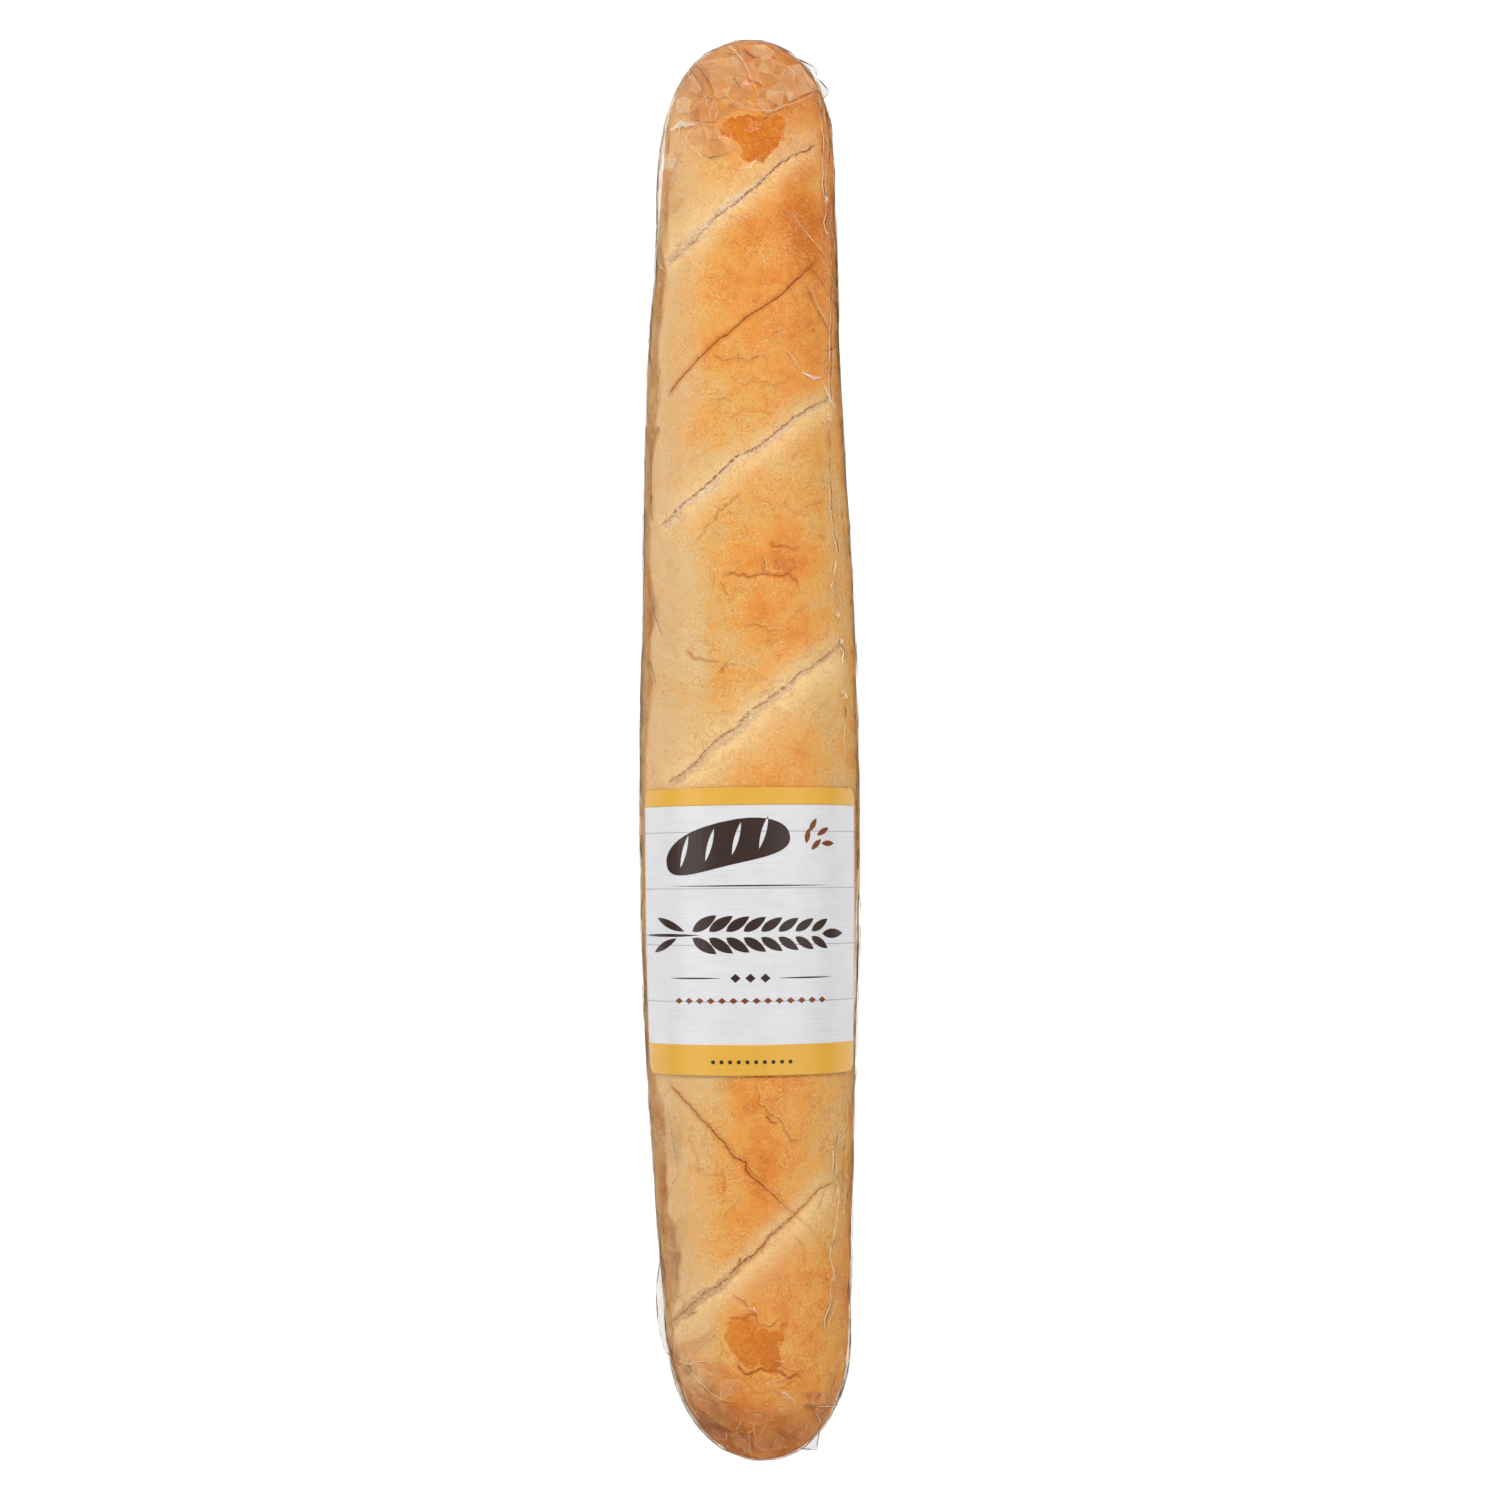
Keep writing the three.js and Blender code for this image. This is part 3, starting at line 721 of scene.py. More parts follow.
def crustMaterial():
    tones = {
        "bank": seen(248, 211, 152),
        "crumb": seen(216, 172, 122),
        "paleCrumb": seen(248, 212, 168),
        "crumbLight": seen(255, 236, 202),
        "crumbShade": seen(176, 104, 50),
        "cutLine": seen(148, 66, 8),
        "crack": seen(132, 48, 8),
        "paleEdgeHighlight": seen(250, 206, 138),
        "tearShade": seen(190, 108, 44),
        "creaseShade": seen(190, 98, 34),
        "patch": seen(202, 98, 14),
        "patchLight": seen(228, 142, 48),
        "light": seen(255, 222, 168),
        "speck": seen(188, 110, 44),
        "flank": seen(234, 196, 148),
        "tip": seen(172, 86, 14),
        "rim": seen(172, 106, 48),
        "base": seen(206, 152, 80),
    }
    r = newRecipe("baked_crust")
    place = r.place()
    broad = r.noise(place, crust["broad"], detail=3)
    middle = r.noise(place, crust["middle"], detail=4, roughness=0.6)
    small = r.noise(place, crust["small"], detail=3, roughness=0.6, distortion=0.4)
    grain = r.noise(place, crust["grain"], detail=3, roughness=0.7)
    sand = r.noise(place, crust["sand"], detail=2, roughness=0.6)
    baked = r.value("baked") + (broad - 0.5) * 0.9 + (middle - 0.5) * 0.62 + (small - 0.5) * 0.5
    colour = r.add("ShaderNodeValToRGB", {"stops": [
        (0.0, seen(226, 188, 130)), (0.2, seen(228, 180, 112)), (0.4, seen(234, 172, 90)),
        (0.6, seen(236, 158, 72)), (0.8, seen(230, 140, 56)), (1.0, seen(212, 116, 36))]}, {0: baked})
    def lay(share, tone):
        nonlocal colour
        colour = r.blend(share, colour, tones[tone])

    # paler left flank, partly painted light
    lay(r.value("flank") * 0.6, "flank")
    # browner tips, partly painted shade
    lay((r.value("tip") * (1.05 + (middle - 0.5) * 1.6)).held() * 0.95, "tip")
    # painted shade along the lower flanks
    rim = (r.value("rim") * (0.66 + (broad - 0.5) * 1.3 + (middle - 0.5) * 0.9)).held()
    lay(rim, "rim")
    pale = (r.value("pale") * (1.0 + (middle - 0.5) * 1.3 + (small - 0.5) * 0.8)).held()
    lay(pale * 0.92, "bank")

    # fine sand of flour and blisters
    fine = (grain - 0.5) * 0.85 + (sand - 0.5) * 0.85 + (small - 0.5) * 0.25
    dusty = r.noise(place, 9, detail=2).fade(0.34, 0.62, 0.35, 1.0)
    dusty = dusty * (1 - r.value("flank") * 0.4) * (1 - r.value("tip") * 0.8)
    lay(fine.fade(0.02, 0.3) * dusty * 0.5, "light")
    lay((-fine).fade(0.0, 0.3) * dusty * 0.55, "speck")

    # hair-fine wandering tears of the crust, with a painted highlight on one side and painted shade on the
    # other
    wander = r.noise(place, 5.5, detail=3, roughness=0.5, distortion=0.9) - 0.5
    inWander = r.noise(place, 8, detail=1).fade(0.47, 0.57) * small.fade(0.36, 0.52)
    under = wander.fade(-0.028, -0.008) * wander.fade(0.002, -0.005) * inWander
    over = wander.fade(-0.002, 0.003) * wander.fade(0.013, 0.006) * inWander
    lay(under * 0.45, "creaseShade")
    lay(over * 0.65, "paleEdgeHighlight")

    # a net of hair-fine cracks in places: pale lines, partly painted highlight, with painted shade beside
    # them
    bent = r.add("ShaderNodeVectorMath", {"operation": "MULTIPLY_ADD"}, {
        0: r.noise(place, 5, detail=2, output="Color"), 1: (6.0, 6.0, 6.0), 2: place})
    wide = crust["netWidth"]
    net = r.add("ShaderNodeTexVoronoi", {"feature": "DISTANCE_TO_EDGE"}, {"Vector": bent, "Scale": 1 / wide})
    net = net * wide
    inNet = r.noise(place, 13, detail=2).fade(0.46, 0.58) * middle.fade(0.40, 0.54)
    netLine = (1 - net.fade(0.08, 0.26)) * inNet
    netShade = net.fade(0.0, 0.4) * net.fade(1.3, 0.4) * inNet
    netTone = 1 - r.value("flank") * 0.6
    lay(netShade * netTone * 0.24, "creaseShade")
    lay(netLine * netTone * 0.34, "paleEdgeHighlight")

    # creases with painted shade and a thin dark core, and tears with a pale lifted edge that is partly
    # painted highlight and a painted shadow beside it
    creaseShade = (1 - abs(r.value("wrinkleGap") + (middle - 0.5) * 1.4).fade(0.1, 1.1)) * r.value("wrinkleOn")
    lay(creaseShade * 0.7, "creaseShade")
    core = 1 - abs(r.value("wrinkleGap") + (grain - 0.5) * 0.8).fade(0.05, 0.4)
    core = core * (r.value("wrinkleOn") - 0.4).held() * small.fade(0.3, 0.5)
    lay(core, "crack")
    tearGap = r.value("tearGap") + (grain - 0.5) * 0.7
    tearOn = r.value("tearOn") * middle.fade(0.28, 0.48)
    edge = tearGap.fade(-0.1, 0.1) * tearGap.fade(0.45, 0.15)
    shade = tearGap.fade(0.0, -0.25) * tearGap.fade(-1.6, -0.3)
    lay((shade * tearOn * 0.6).held(), "tearShade")
    lay((edge * tearOn * 0.8).held(), "paleEdgeHighlight")

    # cuts: a band of torn crumb, full of small pits, beside a ragged broken line
    gap = r.value("cutGap") + (grain - 0.5) * 1.3 + (sand - 0.5) * 0.6
    crumbWide, on = r.value("cutCrumb"), r.value("cutOn")
    aside = abs(r.value("cutAside") + (grain - 0.5) * 0.9 + (small - 0.5) * 0.8)
    inCrumb = (1 - aside.fade(0.75, 1.15)) * on
    pits = r.noise(place, crust["pits"], detail=3, roughness=0.7, distortion=1.2)
    torn = r.blend(r.value("cutPale"), tones["crumb"], tones["paleCrumb"])
    torn = r.blend(pits.fade(0.5, 0.34) * (0.3 + r.value("cutPale") * 0.6), torn, tones["crumbLight"])
    colour = r.blend(inCrumb * 0.9, colour, torn)
    pitted = inCrumb * pits.fade(0.56, 0.64) * crumbWide.fade(0.6, 2.0) * 0.55
    lay(pitted, "crumbShade")
    line = (1 - abs(gap - 0.1).fade(0.10, 0.44)) * on * pits.fade(0.38, 0.50) * r.value("cutLine")
    lay(line * 0.92, "cutLine")
    # painted shade in the groove right beside the cut line
    besideLine = (1 - abs(gap).fade(0.2, 1.1)) * on * r.value("cutLine") * 0.22
    lay(besideLine, "crumbShade")

    # closed cracks: a dark line with painted shade on both sides
    crackGap = r.value("crackGap") + (grain - 0.5) * 0.5
    crackOn = r.value("crackOn")
    lay((1 - abs(crackGap).fade(0.2, 2.0)) * crackOn * 0.4, "creaseShade")
    crackLine = (1 - abs(crackGap).fade(0.06, 0.38)) * crackOn * small.fade(0.2, 0.5)
    lay(crackLine * 0.9, "crack")

    # moist patches under the film
    patchEdge = r.value("patchEdge") + (middle - 0.5) * 4.0 + (small - 0.5) * 2.4 + (grain - 0.5)
    inPatch = patchEdge.fade(0.4, -0.6) * r.value("patchOn")
    mottle = (fine * 1.9 + (small - 0.5) * 1.6 + (broad - 0.5) * 1.6 + 0.32).held()
    colour = r.blend(inPatch * 0.92, colour, r.blend(mottle, tones["patch"], tones["patchLight"]))

    # a few dark specks, and the plain underside
    dots = r.add("ShaderNodeTexVoronoi", {"feature": "F1"}, {"Vector": place, "Scale": 1 / 6}, "Distance")
    lay(dots.fade(0.07, 0.04) * 0.5, "crumbShade")
    lay(r.value("underneath") * 0.6, "base")

    height = grain * 0.16 + sand * 0.09 + middle * 0.25 + small * 0.15 + edge * tearOn * 0.18 - line * 0.15
    height = height + inCrumb * (pits - 0.5) * 0.6 + netLine * 0.08
    return r.finish(r.add("ShaderNodeBsdfPrincipled", {}, {
        "Base Color": colour,
        "Roughness": 0.6 - inPatch * 0.15,
        "Specular IOR Level": 0.02,
        "Normal": r.bump(height, 1.0),
    }))


def buildCrust():
    rows, columns = crustRows(), crustColumns()
    station = np.repeat(rows[:, None], len(columns), axis=1)
    share = np.where(columns > 1, columns - 2, columns)
    across = share[None, :] * girthAt(station)
    angle = angleOf(station, across)
    lean = crust["lean"] * smoothStep((halfLength - np.abs(station)) / crust["leanFade"])
    lean = lean * ringRadius(station, angle) * np.cos(angle) * smoothStep(np.sin(angle) / 0.25)
    station = station + np.where(np.sin(angle) > 0, lean, 0)
    across = acrossOf(station, angle)
    plain = skinPoints(station, angle, 0.0)
    field, relief = crustFields(across, station, plain[..., 0])
    under = loafForm["crustUnderFilm"]
    points = skinPoints(station, angle, onTop(relief, across, station) - under).reshape(-1, 3)
    points[:, 1] *= (halfLength - under) / halfLength
    points[:, 2] = np.maximum(points[:, 2], 0.25)
    faces = gridFaces(len(rows), len(columns), closed=True)
    poles = []
    for end, first in ((-1, 0), (1, (len(rows) - 1) * len(columns))):
        loop = points[first:first + len(columns)]
        poles.append([loop[:, 0].mean(), end * (halfLength - under), loop[:, 2].mean()])
        pole = len(points) + len(poles) - 1
        for j in range(len(columns)):
            a, b = first + j, first + (j + 1) % len(columns)
            faces.append([pole, b, a] if end < 0 else [pole, a, b])
    values = {key: np.concatenate([numbers.ravel(), numbers[[0, -1], 0]]) for key, numbers in field.items()}
    piece = makePiece("crust", np.concatenate([points, poles]), faces, values)
    return finishPiece(piece, crustMaterial(), "crust", "wrapped_loaf")


buildCrust()
print("crust done")


film = {
    "spacing": 3.4,          # between the points of the smooth stretch
    "crumpleSpacing": 6.6,   # between the points of the crumpled ends
    "plainEnds": (-172.0, 200.0),
    "fullCrumple": (-204.0, 222.0),
    "crumpleRise": 1.5,
    "lift": 0.12,
    "tightness": 0.2,        # how far the film is drawn in below the outline of the solid
    "gloss": 0.6,            # against plain Fresnel reflection
    "haze": 0.12,            # of the milkiest places of the crumpled ends, partly painted glare
    "creaseShare": 0.10,     # of the edges at the ends that get a painted highlight
    "darkShare": 0.12,       # and painted shade
    "creaseWidth": 0.3,
    "creaseHeight": 0.55,    # of its width
    "creaseSunk": 0.06,
    "foldStep": 5.0,         # between the points of the long folds
    "foldEnds": 0.35,        # share of its rise that a fold has at its ends
    "edgeShade": 0.95,       # how dark the painted shade of the film is where it is seen edge-on
}
# long folds seen from above: path, how far the fold stands up, the painted highlight of its edge (below 0,
# painted shade), and its width if it isn't the usual one
folds = [
    ([(-19.1, 244.6), (-14.4, 232.0), (-12.3, 221.0)], 1.3, 0.5),
    ([(-6.2, 250.0), (-2.1, 244.6), (1.0, 236.0)], 1.2, 0.8),
    ([(-0.2, 249.0), (4.1, 245.7)], 1.0, 0.7),
    ([(-21.1, 240.8), (-27.3, 229.3), (-28.0, 221.0)], 1.2, 0.5),
    ([(-12.3, 232.0), (-3.0, 229.0), (4.6, 226.5), (12.1, 229.3), (23.0, 234.0)], 1.4, 0.6),
    ([(-6.9, 239.6), (-3.4, 235.4)], 1.0, 0.6),
    ([(-26.9, 220.1), (-23.3, 222.6), (-12.3, 222.8)], 1.2, 0.8),
    ([(-25.0, 226.0), (-23.3, 222.6), (-24.5, 216.0)], 1.0, 0.9),
    ([(-20.5, 214.3), (-17.7, 211.6), (-12.0, 209.0)], 0.9, 0.7),
    ([(14.7, 189.3), (23.6, 179.0), (27.0, 174.3)], 0.5, 0.7),
    ([(13.5, 191.5), (19.2, 184.8)], 0.4, 0.5),
    ([(-32.8, 173.6), (-29.6, 169.0)], 0.5, 0.9),
    ([(-30.7, 147.7), (-32.7, 116.3), (-27.3, 85.7)], 0.5, 0.35),
    ([(-34.7, 110.8), (-35.1, 91.2), (-33.4, 76.3)], 0.6, -0.6),
    ([(-35.4, 145.0), (-33.9, 128.0)], 0.5, -0.4),
    ([(-36.7, 62.1), (-32.7, 45.1), (-29.6, 36.9)], 0.6, -0.7),
    ([(-36.7, 34.9), (-33.6, 27.0), (-32.7, 20.0)], 0.6, -0.5),
    ([(-36.9, 2.0), (-34.5, -9.0)], 0.5, 0.4),
    ([(12.6, 142.4), (15.5, 138.0), (18.3, 133.9)], 0.5, 0.9),
    ([(18.2, 133.9), (21.5, 132.0), (25.4, 132.1)], 0.8, 1.0, 3.4),
    ([(16.9, 180.3), (22.9, 170.0), (27.2, 162.2), (30.7, 156.2)], 0.6, -0.4),
    ([(18.6, 168.3), (22.9, 156.9), (27.2, 149.5), (29.6, 146.6)], 0.7, -0.45, 1.5),
    ([(19.8, 168.0), (24.2, 156.5), (28.3, 149.8)], 0.5, 0.45),
    ([(23.9, 176.1), (29.6, 165.8), (31.1, 159.8)], 0.5, 0.6),
    ([(24.7, 141.6), (31.4, 143.4)], 0.4, -0.7),
    ([(25.0, 132.0), (27.2, 125.7), (30.4, 120.0)], 0.8, 1.0),
    ([(24.0, 119.0), (27.0, 115.0)], 0.5, 0.8),
    ([(35.9, -141.0), (31.0, -152.0), (27.1, -165.4)], 0.7, -0.4),
    ([(35.2, -145.0), (33.5, -156.0), (32.1, -168.2)], 0.7, 0.4),
    ([(27.8, -154.6), (21.7, -166.8)], 0.5, -0.4),
    ([(-29.3, -125.3), (-24.5, -149.8), (-30.2, -163.0)], 0.6, -0.3),
    ([(-24.0, -164.0), (-26.2, -170.9), (-27.3, -177.0), (-24.5, -178.4), (-25.6, -190.6)], 0.7, -0.35),
    ([(-31.5, -134.0), (-28.5, -141.0), (-30.0, -149.0)], 0.5, 0.3),
    ([(-26.6, -216.8), (-20.5, -217.8), (-6.9, -217.5)], 1.1, 0.6),
    ([(-23.3, -217.5), (-19.4, -220.8), (-18.4, -223.0), (-9.6, -230.4), (-4.2, -232.4)], 1.1, 0.5),
    ([(18.2, -233.4), (31.1, -233.1)], 1.2, 0.7),
    ([(9.4, -242.6), (18.2, -248.0)], 1.0, 0.7),
    ([(-0.8, -240.6), (1.2, -247.4)], 1.0, 0.6),
    ([(-24.0, -222.0), (-21.0, -232.0), (-14.0, -241.0)], 1.0, 0.5),
    ([(-32.2, -200.0), (-29.0, -196.0)], 0.6, 0.6),
]
# inner edge of the lap where the film is sealed to itself, seen from above
lapEdge = [
    (23.0, 238.0), (23.6, 235.4), (24.7, 223.7), (25.4, 215.8), (25.0, 204.8), (25.7, 198.1),
    (27.2, 193.5), (25.7, 186.7), (27.9, 181.1), (27.9, 159.8), (27.5, 112.2), (27.9, 85.2), (28.6, 81.7),
    (30.0, 71.4), (29.3, 55.7), (30.7, 48.6), (31.5, 41.5), (30.6, 38.2), (33.0, 35.5), (32.6, 25.2),
    (32.5, 19.9), (33.2, 11.0), (33.2, 6.4), (34.3, -8.9), (34.6, -40.0), (34.2, -70.0), (33.0, -100.0),
    (31.8, -115.7), (31.8, -130.6), (29.3, -140.9), (28.6, -150.5), (31.2, -155.8), (30.0, -164.0),
    (30.0, -168.3), (28.2, -178.9), (29.3, -184.6), (28.2, -191.3), (28.6, -196.7), (26.8, -199.5),
    (25.7, -207.7),
]
lap = {"width": 10.5, "rows": 2.6, "lift": 0.34, "curl": 0.35, "thickness": 0.06}
# small knots of the lap's edge: station, size
lapKnots = [(193, 3.2), (182, 2.6), (118, 3.0), (48, 3.6), (19, 3.2), (37, 4.0), (-157, 3.0), (-186, 2.4),
            (88, 1.6)]
wingSheet = {"spacing": 3.6, "thickness": 0.1, "wave": 0.9, "haze": 0.03, "clearness": 0.90}
# wings of spare film stuck flat to itself at the sides: level and outline seen from above
wings = [
    (17.0, [(13.5, 243.5), (16.4, 246.0), (23.4, 242.6), (23.8, 239.2), (28.4, 234.0), (24.2, 229.5),
            (22.0, 234.0), (19.0, 239.0)]),
    (21.0, [(-29.2, -180.5), (-31.5, -177.5), (-33.4, -192.0), (-32.6, -204.5), (-30.2, -213.6),
            (-25.6, -216.8), (-25.5, -213.5), (-28.0, -207.0), (-29.6, -196.0)]),
    (15.0, [(28.6, -228.0), (31.0, -232.6), (25.0, -240.6), (23.6, -249.0), (17.6, -248.4),
            (18.5, -244.5), (23.5, -238.0), (26.8, -231.5)]),
]
facetSheet = {
    "spacing": 4.2,
    "lift": 0.75,
    "thickness": 0.05,
    "milkFar": 0.5,          # how milky the film of the facets is at the far end and at the near end, partly painted glare
    "milkNear": 0.36,
    "toneSpread": 0.11,
    "creased": 0.4,          # the facets this plain or plainer have creased edges
    "creaseLift": 1.05,
}
# flat facets of the folded film, painted with light: tone from white (painted glare) to brown (painted
# shade), how plain it is, and its outline seen from above
filmFacets = [
    (0.42, 0.6, [(-18.6, 244.2), (-17.6, 244.9), (-7.6, 246.0), (-5.9, 248.9), (-2.7, 250.6), (0.9, 244.9),
            (-1.2, 239.3), (-5.1, 240.0), (-9.8, 242.8), (-14.4, 241.4)]),
    (0.36, 0.7, [(-2.7, 250.6), (5.1, 250.6), (8.0, 248.5), (7.3, 245.7), (3.7, 244.9), (0.9, 246.7)]),
    (0.42, 0.5, [(0.9, 245.7), (7.3, 245.7), (9.4, 244.9), (13.0, 243.2), (10.1, 237.8), (4.4, 236.4),
            (-0.5, 238.6)]),
    (0.3, 0.6, [(13.0, 243.2), (16.9, 243.9), (19.0, 241.4), (22.2, 237.1), (24.0, 235.0), (17.9, 232.9),
            (13.7, 230.4), (10.8, 233.6), (10.1, 237.8)]),
    (0.45, 0.5, [(4.4, 236.4), (10.1, 237.8), (13.7, 230.4), (10.8, 228.6), (8.0, 226.8), (5.1, 226.5),
            (2.7, 229.3), (2.3, 233.6)]),
    (0.46, 0.5, [(-14.4, 241.4), (-9.8, 242.8), (-5.1, 240.0), (-1.2, 239.3), (0.9, 232.2), (-4.1, 231.5),
            (-7.6, 232.2), (-11.2, 231.1), (-13.3, 236.4)]),
    (0.48, 0.45, [(-20.4, 242.8), (-17.6, 238.6), (-15.4, 231.8), (-18.6, 232.9), (-21.1, 234.3),
            (-20.1, 236.4), (-21.5, 240.0)]),
    (0.1, 0.6, [(-25.4, 230.8), (-22.5, 232.5), (-20.4, 230.8), (-21.1, 226.5), (-24.7, 226.5)]),
    (0.55, 0.5, [(-21.1, 226.5), (-17.6, 230.8), (-12.2, 231.5), (-10.8, 226.5), (-11.9, 223.6),
            (-17.6, 223.3)]),
    (0.02, 0.85, [(-27.2, 220.1), (-23.6, 224.0), (-22.5, 221.9)]),
    (0.05, 0.8, [(-23.3, 223.3), (-18.3, 222.2), (-22.5, 221.2)]),
    (0.5, 0.5, [(-20.4, 220.1), (-11.9, 222.9), (-9.8, 217.3), (-14.7, 216.2), (-17.6, 215.5),
            (-21.1, 215.8)]),
    (0.46, 0.55, [(-14.7, 216.2), (-9.8, 217.3), (-5.1, 214.4), (-7.6, 212.3), (-13.3, 210.5),
            (-16.5, 212.3)]),
    (0.12, 0.4, [(-29.3, 210.2), (-26.1, 213.0), (-24.7, 210.2), (-26.1, 206.6), (-29.3, 206.6)]),
    (0.85, 0.4, [(-29.6, 205.9), (-25.7, 205.2), (-27.5, 199.5), (-30.4, 194.5)]),
    (0.62, 0.3, [(-10.8, 226.5), (-6.2, 230.8), (-0.5, 230.8), (2.7, 227.9), (-5.1, 227.9), (-9.8, 224.4)]),
    (0.45, 0.25, [(-31.1, 193.5), (-27.5, 198.8), (-22.5, 196.7), (-27.5, 190.3)]),
    (0.9, 0.5, [(-25.4, -217.3), (-21.5, -216.9), (-19.3, -220.5), (-21.1, -222.9), (-23.6, -221.5)]),
    (0.6, 0.45, [(-19.0, -218.0), (-8.0, -218.7), (-8.3, -222.6), (-14.7, -221.5)]),
    (0.66, 0.35, [(-17.6, -222.2), (-11.2, -222.9), (-10.5, -230.0), (-15.4, -227.9)]),
    (0.5, 0.45, [(-10.5, -224.4), (-4.1, -223.3), (-4.8, -228.6), (-9.8, -231.1)]),
    (0.68, 0.55, [(-21.1, -225.8), (-16.9, -230.0), (-10.5, -232.2), (-4.1, -233.6), (-2.3, -237.8),
            (-4.8, -242.1), (-11.2, -238.6), (-16.2, -234.7), (-19.3, -231.5)]),
    (0.9, 0.45, [(-19.3, -234.7), (-16.2, -235.4), (-11.9, -238.6), (-7.6, -242.5), (-8.0, -246.0),
            (-13.3, -244.2), (-17.2, -240.7)]),
    (0.66, 0.5, [(-6.9, -242.8), (-1.6, -241.8), (0.5, -246.4), (0.9, -250.3), (-4.8, -247.1)]),
    (0.58, 0.45, [(1.2, -240.0), (8.7, -241.8), (12.6, -244.9), (10.8, -248.1), (6.6, -249.2),
            (2.3, -247.8)]),
    (0.56, 0.3, [(-2.0, -233.6), (6.6, -235.0), (13.7, -233.6), (17.9, -234.3), (20.1, -239.3),
            (17.2, -244.9), (9.4, -241.4), (-0.5, -239.3)]),
    (0.9, 0.45, [(18.6, -233.6), (27.2, -233.6), (27.5, -235.0), (24.3, -239.6), (22.5, -239.3),
            (22.2, -235.7)]),
    (0.62, 0.35, [(17.9, -228.6), (29.3, -227.9), (30.7, -232.2), (18.6, -232.9)]),
    (0.25, 0.5, [(9.8, -226.8), (13.3, -227.6), (16.2, -230.8), (13.0, -231.8)]),
    (0.7, 0.3, [(-26.1, -211.6), (-19.7, -209.4), (-11.9, -205.9), (-17.6, -212.3), (-21.1, -215.8),
            (-25.7, -216.2)]),
    (0.8, 0.16, [(-36.7, 62.5), (-34.6, 58.9), (-32.8, 51.8), (-33.2, 44.0), (-35.7, 49.0)]),
    (0.75, 0.08, [(-29.3, -125.3), (-23.3, -134.9), (-24.0, -145.5), (-28.2, -148.4), (-30.4, -137.7)]),
    (0.75, 0.08, [(-24.0, -164.0), (-21.1, -169.0), (-24.3, -177.5), (-27.5, -176.1), (-26.4, -170.4)]),
    (0.85, 0.16, [(-29.3, -178.2), (-24.3, -178.2), (-25.4, -190.3), (-28.9, -187.4)]),
]
